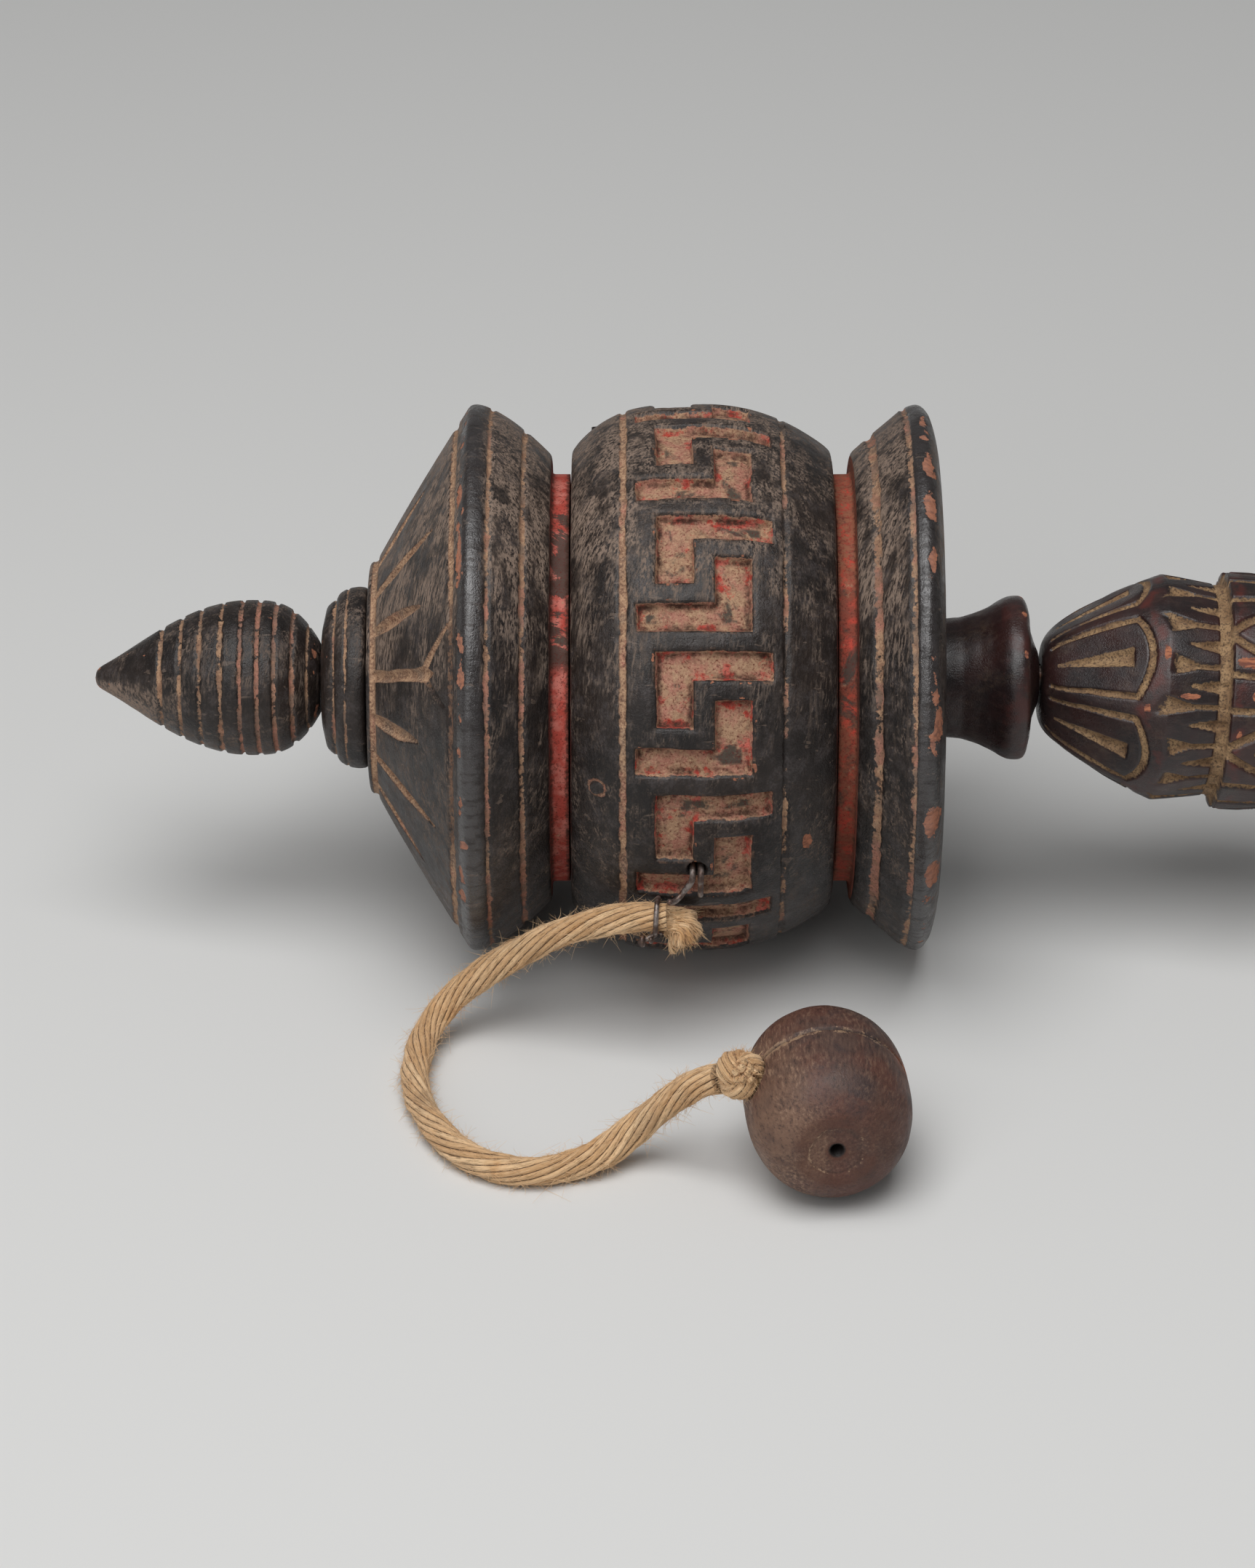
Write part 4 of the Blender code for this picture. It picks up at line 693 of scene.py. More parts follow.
def jute_yarn(name):
    """Dry plant fibre: straw coloured, with painted shade between the yarns, and fibres along each."""
    n = Nodes(name)
    run = n.scaled(n.attribute("run"), 0.1)
    place = n.node("CombineXYZ", {0: run, 1: n.attribute("turn_x"), 2: n.attribute("turn_y")}).outputs[0]
    fibre = n.noise(5200, 4, 0.7, place)
    tone = n.mix(n.ramp(n.attribute("tone"), 0.15, 0.85), STRAW_DULL, STRAW)
    tone = n.mix(n.spots((135, 4), 0.54, 0.7, 0, 0.6), tone, STRAW_ORANGE)
    tone = n.mix(n.spots((90, 3), 0.58, 0.76, 0, 0.35), tone, STRAW_GREY)
    tone = n.mix(n.ramp(fibre, 0.5, 0.34, 0, 0.75), tone, FIBRE_DARK)
    tone = n.mix(n.ramp(fibre, 0.56, 0.72, 0, 0.65), tone, FIBRE_PALE)
    tone = n.mix(n.times(n.attribute("amber"), n.ramp(fibre, 0.34, 0.56, 0.4, 1)), tone, AMBER)
    # Painted shade between the yarns.
    colour = n.mix(n.ramp(n.attribute("strand"), 0.22, 0.72), YARN_GAP_SHADE, tone)
    normal = n.bumps((fibre, 0.00022, 0.9), (n.noise(4200, 3, 0.7), 0.00012, 0.7))
    n.shader.inputs["Sheen Weight"].default_value = 0.15
    n.shader.inputs["Sheen Roughness"].default_value = 0.6
    return n.finish(colour, 0.92, normal, specular=0.12)


def dark_iron(name):
    """Old iron wire, brown with rust and rubbed bright in places."""
    n = Nodes(name)
    colour = n.mix(n.spots((650, 4), 0.42, 0.64), IRON_BROWN, IRON_BRIGHT)
    colour = n.mix(n.spots((900, 4), 0.54, 0.72), colour, IRON_RUST)
    normal = n.bumps((n.noise(2600, 3), 0.00008, 0.8))
    return n.finish(colour, n.spots((800, 3), 0.3, 0.7, 0.4, 0.62), normal, metallic=0.75)


def plain_grain(name, low, high, scale, stretch, roughness, relief=0.00008):
    """Two tones mixed along a grain, for the pieces inside the drum."""
    n = Nodes(name)
    grain = n.noise(scale, 4, 0.6, n.grain(stretch))
    colour = n.mix(n.ramp(grain, 0.36, 0.66), low, high)
    darker = tuple(0.6 * value for value in low)
    colour = n.mix(n.spots((scale / 9, 3), 0.52, 0.78, 0, 0.4), colour, darker)
    rough = n.spots((scale / 3, 3), 0.3, 0.7, roughness - 0.06, roughness + 0.08)
    return n.finish(colour, rough, n.bumps((grain, relief, 0.7)))


lacquer_lid = painted_wood("lid lacquer", pigment_tan=0.16, line_pink=0.12, stain_edge=0.03,
                           reds=(LID_RED, LID_PALE_RED))
lacquer_barrel = painted_wood("barrel lacquer", pigment_tan=1, line_pink=0.4)
lacquer_base = painted_wood("base lacquer", pigment_tan=0.12, line_pink=0.45,
                            reds=(BASE_BROWN_RED, BASE_RED))
lacquer_finial = painted_wood("finial lacquer", patina=1.15, gloss=0.32, line_pink=0.1)
maroon = maroon_wood("maroon wood")
brown = worn_wood("worn brown wood")
jute = jute_yarn("jute")
iron = dark_iron("dark iron")


# ------------------------------------------------------------------ drum
FAR = 9                                    # a distance at which nothing is cut
LID_FLARE_LENGTH = 0.0124
LID_SHOULDER_DROP = 0.0084
LID_RIM_X = -GROOVE_END - LID_FLARE_LENGTH
CONE_END_X = LID_RIM_X - 0.0021
CONE_END_RADIUS = RIM - 0.002
PLATFORM_X = lid_low.x - MIDDLE_X
PLATFORM_EDGE_X = PLATFORM_X + 0.0011
PLATFORM_RADIUS = 0.0193
RAY_START = 30                             # degrees up from the front; the first forked ray
RAY_TURNS = ((20, "short"), (41, "long"), (61.5, "short"))
RAY_SIZES = {"forked": (0.0188, 0.0027), "long": (0.021, 0.0022), "short": (0.016, 0.0026)}
BASE_FLARE_LENGTH = 0.0108
BASE_SHOULDER_DROP = 0.0079
BASE_RIM_X = GROOVE_END + BASE_FLARE_LENGTH
BASE_FACE_X = spool_low.x - MIDDLE_X + 0.003

# Large flakes on the rims: distance from the rim's edge, degrees up from the front, and two half
# sizes, along the spindle and round it.
LID_WORN_SPOTS = ((-0.0003, 71, 0.0006, 0.0026), (-0.0002, 56, 0.0005, 0.005), (0.0002, 28.5, 0.0008, 0.0019),
                  (0.0004, -8, 0.0008, 0.001), (0, -24, 0.0006, 0.0022))
BASE_WORN_SPOTS = ((0, 66.5, 0.0013, 0.004), (0, 78, 0.0009, 0.0018), (0.0001, -2.5, 0.0015, 0.0036),
                   (0.0004, -16.5, 0.0013, 0.0038), (0.0009, 19, 0.0008, 0.0028),
                   (0.0002, 52, 0.0005, 0.0016), (-0.0004, 88, 0.0008, 0.0011))


def dust_share(grid, least=0.52, low=0.32, high=0.95):
    """Dust settles on the upper side of the drum as it lies."""
    return least + (1 - least) * ease(np.sin(grid.angle), low, high) + 0 * grid.x


def paint_groove(grid, side, drop, grime_and_shade, low, high):
    """Pigment in the groove on one side of the barrel, and grime with painted shade in its corners."""
    x = side * grid.x
    groove = (x < GROOVE_END + 0.0001) & (grid.r < RIM - drop - 0.0008)
    corner = np.minimum(np.abs(x - GROOVE_END), np.abs(x - HALF_BARREL - SEAM))
    grid.mark("pigment", groove)
    grid.mark("grime_and_shade", groove * grime_and_shade * (1 - ease(corner, low, high)))
    return groove


def rim_chips(grid, x, spread, size, amount, seed, spots):
    """Flaked lacquer along an edge at x, and a large flake at each of the spots."""
    outside = grid.r > RIM - 0.0042
    near = bell(grid.x - x, spread) * outside
    near = near * (0.86 + 0.14 * grid.noise(0.014, seed + 5) + 0.05 * np.sin(grid.angle))
    flakes = grid.noise(size, seed, 4)
    field = flaking(flakes, 1 - amount * near) * (near > 0.05)
    for along, degrees, long, wide in spots:
        spot = grid.spot(x + along, degrees, long, wide) * outside
        field = np.maximum(field, share(spot + 0.45 * flakes) * (spot > 0.05))
    grid.mark("chip", field)
    grid.sink(0.00013 * ease(field, 0.42, 0.6))


def cone_radius_at(x):
    """The cone bulges a little between the platform and the rim."""
    part = (x - PLATFORM_EDGE_X) / (CONE_END_X - PLATFORM_EDGE_X)
    return PLATFORM_RADIUS + (CONE_END_RADIUS - PLATFORM_RADIUS) * part + 0.0005 * math.sin(math.pi * part)


def lid_flare_radius_at(x):
    return RIM - LID_SHOULDER_DROP * max(0, (x - LID_RIM_X) / LID_FLARE_LENGTH) ** 1.5


def carve_rays(grid):
    """Sixteen chiselled rays on the cone: four forked ones, and short, long and short between."""
    slope = (CONE_END_X - PLATFORM_EDGE_X) / (CONE_END_RADIUS - PLATFORM_RADIUS)
    slant = (grid.r - PLATFORM_RADIUS) * math.hypot(1, slope)
    on_cone = (grid.x > PLATFORM_EDGE_X - 0.0002) & (grid.x < CONE_END_X)
    on_cone = on_cone & (grid.r > PLATFORM_RADIUS - 0.0002)
    rays = [(RAY_START + 90 * i, "forked") for i in range(4)]
    rays += [(RAY_START + side * (90 * quarter + turn), kind)
             for side in (1, -1) for quarter in (0, 1) for turn, kind in RAY_TURNS]
    rng = random.Random(21)
    waver = 0.00022 * grid.noise(0.003, 22)
    for degrees, kind in rays:
        middle = math.radians(degrees + rng.uniform(-1.2, 1.2))
        bend = rng.uniform(-0.001, 0.001)
        length, width = RAY_SIZES[kind]
        length += rng.uniform(-0.001, 0.001)
        part = slant / length
        across = grid.beside(middle) - bend * part ** 2 + waver
        if kind != "forked":
            swell = 0.62 + 0.48 * np.sin(math.pi * share(part) ** 0.8)
            half = width / 2 * swell * np.sqrt(share(1 - part ** 4))
            strokes = [(across, half, (part > -0.1) & (part < 1), 1)]
        else:
            half = width / 2 * (0.82 + 0.35 * bell(part - 0.95, 0.16)) * np.sqrt(ease(1.1 - part, 0, 0.2))
            strokes = [(across, half, (part > -0.1) & (part < 1.1), 1)]
            beyond = slant - length * 0.9
            fading = 1 - 0.7 * ease(beyond, 0.001, 0.005)
            for side, opening, reach, shown in ((1, 1.05, 0.0084, 1), (-1, 0.85, 0.0074, 0.5 * fading)):
                path = (across - side * opening * beyond * (1 - 12 * beyond)) / math.hypot(1, opening)
                taper = 0.00092 * share(1.1 - beyond / reach) ** 0.7
                strokes.append((path, taper, (beyond > -0.0006) & (beyond < 1.1 * reach), shown))
        for path, half, inside, shown in strokes:
            cut = on_cone & inside & (half > 0.00006)
            near = np.where(cut, np.abs(path) / np.maximum(half, 0.00006), FAR)
            grid.sink(0.0008 * np.sqrt(half / (width / 2)) * (1 - ease(near, 0.15, 1.05)))
            grid.mark("sand", shown * (1 - ease(near, 0.7, 1.12)))


def make_lid():
    outline = [(PLATFORM_X, BUSH_HOLE), (PLATFORM_X, PLATFORM_RADIUS - 0.0006),
               (PLATFORM_X + 0.0003, PLATFORM_RADIUS - 0.0002), (PLATFORM_EDGE_X, PLATFORM_RADIUS)]
    outline += [(x, cone_radius_at(x)) for x in np.linspace(PLATFORM_EDGE_X, CONE_END_X, 8)[1:]]
    outline += [(LID_RIM_X - 0.0019 * math.cos(a), RIM - 0.0019 * (1 - math.sin(a)))
                for a in map(math.radians, (55, 72, 90))]
    outline += [(x, lid_flare_radius_at(x)) for x in np.linspace(LID_RIM_X, -GROOVE_END, 14)[1:]]
    outline += [(-GROOVE_END + 0.0001, GROOVE_RADIUS), (-HALF_BARREL - SEAM, GROOVE_RADIUS)]
    grid = Grid(outline, 0.00034, 830)
    grid.wear(0.00009, 0.006, 3)
    height = np.sin(grid.angle)
    upper = ease(height, 0.6, 0.84)
    for along, seed in ((0.22, 5), (0.66, 6)):
        off = (grid.x - LID_RIM_X - LID_FLARE_LENGTH * along) * 1.1 + FAR * (grid.x <= LID_RIM_X)
        grid.line(off, 0.0009, 0.0004, seed)
        grid.mark("pink", 0.7 * trench(off, 0.001, 0.0003) * ease(0.92 - height, 0, 0.1))
    cone_line = (grid.x - CONE_END_X + 0.0011) * 1.9 + FAR * (grid.r < PLATFORM_RADIUS + 0.01)
    grid.line(cone_line, 0.0016, 0.00035, 7, name="sand")
    grid.masks["sand"] *= 0.48 + 0.52 * np.maximum(upper, 0.8 * ease(-height, 0.1, 0.35))
    edge = grid.x - PLATFORM_EDGE_X + FAR * (grid.r < PLATFORM_RADIUS - 0.0012)
    grid.mark("sand", 0.95 * trench(edge, 0.00036, 0.0004))
    grid.sink(0.00025 * trench(edge, 0.0002, 0.0004))
    carve_rays(grid)
    groove = paint_groove(grid, -1, LID_SHOULDER_DROP, 0.6, 0.0002, 0.001)
    stained = 1 - ease(np.abs(wrap_angle(grid.angle - math.radians(57))), 0.4, 0.52)
    grid.mark("middle", groove * (0.44 + 0.42 * stained))
    glossy = bell(grid.x - LID_RIM_X - 0.0003, 0.0017)
    settled = np.where(grid.x < CONE_END_X, dust_share(grid, 0.68, 0.25, 0.9), dust_share(grid, 0.56))
    grid.mark("dust", settled * (1 - 0.9 * glossy * (1 - upper * 0.5)))
    # The polished band on the rim, which also carries a painted sheen.
    grid.mark("polish_and_sheen", bell(grid.x - LID_RIM_X + 0.0004, 0.0022, 4) * (grid.r > RIM - 0.0018))
    rim_chips(grid, LID_RIM_X - 0.0016, 0.0007, (0.0014, 0.002, 0.002), 0.93, 31, LID_WORN_SPOTS)
    inside = [(-HALF_BARREL - SEAM, SPIGOT_RADIUS), (-SPIGOT_END, SPIGOT_RADIUS), (-SPIGOT_END, ROOM_RADIUS),
              (PLATFORM_X + 0.0175, ROOM_RADIUS), (PLATFORM_X + 0.0175, BUSH_HOLE)]
    carved_piece(grid, inside, True, lacquer_lid, "drum", "lacquered_wood", "drum_lid")


def barrel_radius_at(x):
    """The barrel is fuller on its lid side, x below 0, than on its base side."""
    return RIM - BARREL_DROP * np.abs(x / HALF_BARREL) ** np.where(x < 0, 3.5, 2.2)


FRET = ("#####.",
        "#...#.",
        "###.#.",
        "..#.#.",
        "###.##")
FRET_RIDGE = 0.0032
FRET_GAP = 0.0062
FRET_REPEATS = 12
FRET_RIDGE_SHARE = 0.4
FRET_TURN = math.radians(14.2)
FRET_DEPTH = 0.0018


def fret_distance(grid):
    """Distance into the sunk ground of the key fret (positive) or into its ridges (negative)."""
    row_count, column_count = len(FRET), len(FRET[0])
    table = np.array([[cell == "." for cell in line] for line in FRET])
    sizes = np.array([FRET_RIDGE if i % 2 == 0 else FRET_GAP for i in range(row_count)])
    x_edges = -sizes.sum() / 2 + np.concatenate([[0], np.cumsum(sizes)])
    pair = 4 * math.pi / (FRET_REPEATS * column_count)
    x = grid.x + 0.0003 * grid.noise(0.0042, 41)
    turn = (grid.angle - FRET_TURN + 0.0003 * grid.noise(0.0042, 43) / RIM) / pair
    whole = np.floor(turn)
    part = turn - whole
    in_gap = part >= FRET_RIDGE_SHARE
    column = (2 * whole + in_gap).astype(int)
    row = np.searchsorted(x_edges, x) - 1
    inside = (row >= 0) & (row < row_count)
    safe = np.clip(row, 0, row_count - 1)
    # Distance to the next row or column, for a step of -1, 0 or 1.
    step_x = {-1: x - x_edges[safe], 0: 0, 1: x_edges[safe + 1] - x}
    step_y = {-1: np.where(in_gap, part - FRET_RIDGE_SHARE, part) * pair * grid.r, 0: 0,
              1: np.where(in_gap, 1 - part, FRET_RIDGE_SHARE - part) * pair * grid.r}

    def sunk(row_step, column_step):
        rows = row + row_step
        found = table[np.clip(rows, 0, row_count - 1), (column + column_step) % column_count]
        return found & (rows >= 0) & (rows < row_count)

    here = sunk(0, 0)
    best = np.full_like(x, 0.01)
    for row_step, dx in step_x.items():
        for column_step, dy in step_y.items():
            if row_step or column_step:
                other = sunk(row_step, column_step) != here
                best = np.where(other, np.minimum(best, np.hypot(dx, dy)), best)
    best = np.where(inside, best, 0.01)
    return np.where(here & inside, best, -best)


STAPLE_X = -0.0011
STAPLE_ANGLE = math.radians(-13.8)
PEG_ANGLE = math.radians(4)


def make_barrel():
    end_radius = float(barrel_radius_at(HALF_BARREL))
    outline = [(-HALF_BARREL, BARREL_BORE + 0.001), (-HALF_BARREL, end_radius - 0.0002)]
    outline += [(x, barrel_radius_at(x)) for x in np.linspace(-HALF_BARREL, HALF_BARREL, 40)[1:-1]]
    outline += [(HALF_BARREL, end_radius - 0.0002), (HALF_BARREL, BARREL_BORE + 0.001)]
    grid = Grid(outline, lambda x: np.where(abs(x) < BORDER + 0.0006, 0.00023, 0.0005), 1040, soften=1)
    outside = grid.r > end_radius - 0.0012
    distance = fret_distance(grid)
    grid.sink(FRET_DEPTH * (1 + 0.12 * grid.noise(0.002, 47, 3)) * ease(distance, -0.0001, 0.00044))
    grid.sink(0.00016 * ease(distance, -0.0009, 0) * (distance < 0) * (1 + grid.noise(0.003, 48)))
    grid.wear(0.00012, 0.004, 13)
    grid.mark("pigment", ease(distance, -0.00006, 0.00022))
    grid.mark("middle", ease(distance, 0.0004, 0.0022))
    grid.mark("edge", 0.75 * trench(distance + 0.0002, 0.00008, 0.00022) * (distance < 0))
    # Grime and painted shade along the walls of the fret's sunk ground, broken up in patches.
    corners = np.clip(0.75 + 0.9 * grid.noise(0.0035, 49), 0.15, 1)
    grid.mark("grime_and_shade", 0.72 * corners * ease(distance, 0, 0.0003) * (1 - ease(distance, 0.0002, 0.0021)))
    for x, seed, name, width in ((-BORDER, 15, "sand", 0.0011), (BORDER, 16, "line", 0.0008)):
        bent = grid.x - x + 0.00016 * grid.noise(0.008, seed + 2)
        grid.line(bent, width, 0.00046, seed, name, faint=0.6)
    grid.masks["line"] *= np.clip(0.62 + 1.1 * grid.noise(0.006, 19), 0.25, 1)
    # A ring cut round each lid peg, and the staple's hole.
    for i in range(3):
        away = np.hypot(grid.x + HALF_BARREL - 0.0042, grid.beside(PEG_ANGLE + 2 * math.pi * i / 3))
        grid.sink(0.0003 * trench(away - 0.00128, 0.0001, 0.00026) * outside)
        grid.mark("sand", 0.74 * trench(away - 0.00132, 0.00014, 0.00032) * outside)
    hole = np.hypot(grid.x - STAPLE_X, grid.beside(STAPLE_ANGLE)) + FAR * ~outside
    grid.sink(0.0036 * trench(hole, 0.0011, 0.0005))
    # Painted shade darkens the staple's hole.
    grid.mark("grime_and_shade", trench(hole, 0.0012, 0.0004))
    grid.mark("pigment", trench(hole, 0.001, 0.0003))
    ridge_dust = 0.86 + 0.14 * ease(np.abs(grid.x), 0.0098, 0.0122)
    grid.mark("dust", dust_share(grid) * ridge_dust * (1 - 0.25 * ease(grid.x, 0.01, 0.014)))
    flakes = grid.noise((0.0015, 0.0019, 0.0019), 51, 4)
    nick = bell(distance + 0.0003, 0.0005) * (distance < 0) + 0.5 * (np.abs(grid.x) > 0.0185)
    patch = grid.spot(0.0165, -11, 0.0009, 0.0016)
    field = np.maximum(flaking(flakes, 1 - 0.62 * nick), share(patch + 0.25 * flakes)) * outside
    grid.mark("chip", field)
    grid.sink(0.00012 * ease(field, 0.42, 0.6))
    inside = [(HALF_BARREL, BARREL_BORE), (-HALF_BARREL, BARREL_BORE)]
    carved_piece(grid, inside, True, lacquer_barrel, "drum", "lacquered_wood", "drum_barrel")


def make_base():
    outline = [(HALF_BARREL + SEAM, GROOVE_RADIUS), (GROOVE_END - 0.0001, GROOVE_RADIUS),
               (GROOVE_END, RIM - BASE_SHOULDER_DROP - 0.0003),
               (GROOVE_END + 0.0004, RIM - BASE_SHOULDER_DROP + 0.0002)]
    outline += [(GROOVE_END + BASE_FLARE_LENGTH * along, RIM - drop) for along, drop in
                ((0.3, 0.0052), (0.6, 0.0025), (0.785, 0.0008), (0.87, 0.0004), (0.94, 0.00014))]
    outline += [(BASE_RIM_X + along, RIM - drop) for along, drop in
                ((0, 0), (0.001, 0.0005), (0.0019, 0.0017), (0.0024, 0.0032), (0.0029, 0.0054))]
    outline += [(BASE_FACE_X, 0.02), (BASE_FACE_X, 0.0063)]
    grid = Grid(outline, 0.0004, 750)
    grid.wear(0.00009, 0.006, 23)
    for along, seed, width in ((0.28, 25, 0.0013), (0.785, 26, 0.0008)):
        off = grid.x - GROOVE_END - BASE_FLARE_LENGTH * along + FAR * (grid.x >= BASE_RIM_X)
        grid.line(off, width, 0.0004, seed)
    groove = paint_groove(grid, 1, BASE_SHOULDER_DROP, 0.56, 0.0001, 0.0008)
    grid.mark("middle", groove * (0.55 + 0.4 * ease(np.cos(grid.angle - 0.5), 0.5, 0.9)))
    grid.mark("rust", groove * ease(np.sin(grid.angle), 0.7, 0.92))
    grid.mark("rust", groove * 0.62 * ease(-np.sin(grid.angle - 0.5), 0, 0.35))
    glossy = bell(grid.x - BASE_RIM_X + 0.0004, 0.0018)
    grid.mark("dust", dust_share(grid) * (1 - 0.9 * glossy) * (grid.r > 0.036))
    # The polished band on the rim, which also carries a painted sheen.
    grid.mark("polish_and_sheen", bell(grid.x - BASE_RIM_X + 0.0005, 0.0018, 4) * (grid.r > RIM - 0.0016))
    rim_chips(grid, BASE_RIM_X + 0.0006, 0.0016, (0.0022, 0.0036, 0.0036), 0.9, 33, BASE_WORN_SPOTS)
    inside = [(BASE_FACE_X - 0.0033, 0.0063), (BASE_FACE_X - 0.0033, BUSH_HOLE),
              (BASE_FACE_X - 0.0075, BUSH_HOLE), (BASE_FACE_X - 0.0075, ROOM_RADIUS),
              (SPIGOT_END, ROOM_RADIUS), (SPIGOT_END, SPIGOT_RADIUS), (HALF_BARREL + SEAM, SPIGOT_RADIUS)]
    carved_piece(grid, inside, True, lacquer_base, "drum", "lacquered_wood", "drum_base")


# ------------------------------------------------------------------ collar, finial and spool
def make_collar():
    start = collar_low.x - MIDDLE_X
    thickness = collar_high.x - collar_low.x
    radius = (collar_high.z - collar_low.z) / 2
    profile = ((0, 0.15), (0, 0.56), (0.03, 0.62), (0.1, 0.78), (0.22, 0.835), (0.3, 0.86), (0.38, 0.93),
               (0.5, 0.965), (0.6, 0.985), (0.8, 1), (0.95, 0.99), (1, 0.96), (1, 0.15))
    grid = Grid([(start + thickness * along, radius * out) for along, out in profile], 0.00028, 330)
    grid.wear(0.00007, 0.004, 61)
    front = (grid.x < start + 0.9 * thickness) & (grid.r > 0.6 * radius)
    for along, seed, width, pink in ((0.29, 62, 0.0005, 0.3), (0.56, 63, 0.0004, 0)):
        off = grid.x - start - thickness * along + FAR * ~front
        grid.line(off, width, 0.00028, seed, faint=0.6)
        grid.mark("pink", pink * trench(off, width, width))
    grid.mark("dust", 0.6 * dust_share(grid))
    grid.mark("chip", flaking(grid.noise(0.0022, 64, 4), 0.62))
    carved_piece(grid, (), True, lacquer_finial, "collar", "lacquered_wood", "finial_collar")


def make_finial():
    tip = finial_low.x - MIDDLE_X
    back = finial_high.x - MIDDLE_X
    widest = 0.69
    radius = 0.0128
    back_radius = 0.0056

    def radius_at(along):
        if along < widest:
            blunt = 0.04 * along / (along + 0.03) * (1 - along / widest) ** 2
            return radius * math.sqrt(math.sin(math.pi / 2 * along / widest) ** 2 + blunt)
        return radius - (radius - back_radius) * ((along - widest) / (1 - widest)) ** 3

    outline = [(tip + (back - tip) * along, radius_at(along)) for along in np.linspace(0, 1, 90) ** 1.2]
    outline += [(back, ROD_HOLE), (back - 0.0185, ROD_HOLE), (back - 0.0185, 0)]
    grid = Grid(outline, 0.00026, 330, soften=1)
    bore = (grid.x < back - 0.0001) & (grid.r < 0.003) & (grid.x > back - 0.019)
    grid.wear(0.0001, 0.004, 71)
    grooves = (0.0112, 0.0145, 0.0178, 0.0213, 0.0246, 0.0274, 0.0302, 0.0331, 0.0354)
    for i, place in enumerate(grooves):
        off = grid.x - tip - place + FAR * bore
        width, depth = (0.00072, 0.0004) if i < 8 else (0.00046, 0.00026)
        grid.line(off, width, depth, 72 + i, faint=0.55)
        grid.mark("pink", (4 <= i <= 7) * trench(off, width, width))
    low = ease(-np.sin(grid.angle - 0.5), -0.3, 0.7)
    grid.mark("dust", 0.5 + 0.6 * ease(tip + 0.016 - grid.x, 0, 0.01) * low)
    worn = 0.9 * bell(grid.x - tip, 0.0013) + 0.45 * bell(grid.x - back + 0.0009, 0.0006)
    grid.mark("chip", flaking(grid.noise(0.0015, 90, 4), 0.64 - worn))
    grid.depth[bore] = 0
    carved_piece(grid, (), False, lacquer_finial, "finial", "lacquered_wood", "finial")


def make_spool():
    start = spool_low.x - MIDDLE_X
    neck = start + 0.0033
    end = spool_high.x - MIDDLE_X
    tenon = 0.006
    waist = ((0, 9.7), (1.4, 9.75), (4.3, 10), (7.2, 10.9), (9.1, 11.8), (10.9, 12.95), (11.9, 13.4),
             (12.8, 13.55), (14, 13.55), (14.7, 13.1), (15.1, 12.1), (15.4, 9.8), (15.8, 7.5), (16.5, 5.4))
    outline = [(start, ROD_HOLE + 0.0002), (start, tenon), (neck, tenon)]
    outline += [(neck + along * MM, r * MM) for along, r in waist] + [(end, 0.0042), (end, ROD_HOLE + 0.0002)]
    grid = Grid(outline, 0.00028, 330)
    grid.wear(0.00016, 0.004, 91)
    disc = (grid.x > neck + 0.0105) & (grid.x < neck + 0.0152)
    grid.mark("edge", 0.45 * disc * ease(grid.r, 0.012, 0.0134))
    rim = bell(grid.x - neck - 0.0143, 0.0007)
    grid.mark("chip", flaking(grid.noise((0.0018, 0.0024, 0.0024), 92, 4), 1 - 0.72 * rim))
    carved_piece(grid, (), True, maroon, "drum", "maroon_wood", "neck_spool")


# ------------------------------------------------------------------ handle
HANDLE_LENGTH = 0.14896
HANDLE_DROOP = math.radians(3.4)
HANDLE_SETBACK = 0.0104                    # the slant starts this far before the nose
PANEL_TURN = math.radians(-14)
PANEL_STEP = 2 * math.pi / 6
PANEL_SLOPE = 0.6
PANEL_START = 0.0029
PANEL_START_RADIUS = 0.0095                # the panels' distance from the axis at PANEL_START
HEAD_TAPER = 0.145
HEAD_TAPER_START = 0.016
HEAD_TAPER_RADIUS = 0.0192
HEAD_END = 0.0276
COLLAR_START = 0.0294
LEAF_START = 0.0364
LEAF_END = 0.0514
CUT_STEP = 2 * math.pi / 16                # broad cuts round the back of the head, narrow ones between
CUT_TURN = math.radians(19.3)
CUT_NECK = 0.0238                          # where the broad cuts have narrowed
CUT_BETWEEN = 0.0221                       # where the narrow ones start
PETAL_TURN = math.radians(27.5)
PETAL_END = LEAF_END - 0.0013
INNER_END = PETAL_END - 0.0063
WORN_SPOTS = ((0.0188, 46.6, 0.0006, 0.0015), (0.016, 17, 0.0007, 0.0009), (0.0227, 24.6, 0.0024, 0.0006),
              (0.0324, 42.5, 0.0026, 0.0011), (0.0331, 26.5, 0.0006, 0.0009), (0.031, 6, 0.0005, 0.0011))

# Distance along the handle and radius, in millimetres: the carved collar and the leaves, a neck
# with a bead, the grip with its swelling, a second bead, and the pommel.
GRIP_PROFILE = ((HEAD_END / MM, 17.8), (COLLAR_START / MM - 0.1, 17.9), (COLLAR_START / MM, 19.5),
                (COLLAR_START / MM + 0.4, 19.6), (LEAF_START / MM, 19.6), (39.6, 19), (42.4, 17.6),
                (45.6, 15.4), (47.6, 14.1), (49.8, 12.3), (LEAF_END / MM, 11.3), (52, 11.4), (52.4, 12.8),
                (53.1, 13), (53.8, 12.8), (54.2, 11.4), (54.8, 11.2), (64, 11.6), (74, 12.6), (86.8, 13.2),
                (100, 12.9), (112, 11.9), (122, 11.3), (128.6, 11.2), (129.2, 11.4), (129.6, 12.8),
                (130.3, 13), (131, 12.8), (131.4, 11.4), (132, 11.2), (133.4, 12.4), (135.1, 13.9),
                (139.1, 15.9), (142.5, 16.5), (145.9, 15.7), (147.8, 13.6), (148.7, 11.6), (149, 10.5))
TURNED_LINES = (0.0515, 0.0547, 0.07, 0.0713, 0.119, 0.1203, 0.1287, 0.1319, 0.1404)


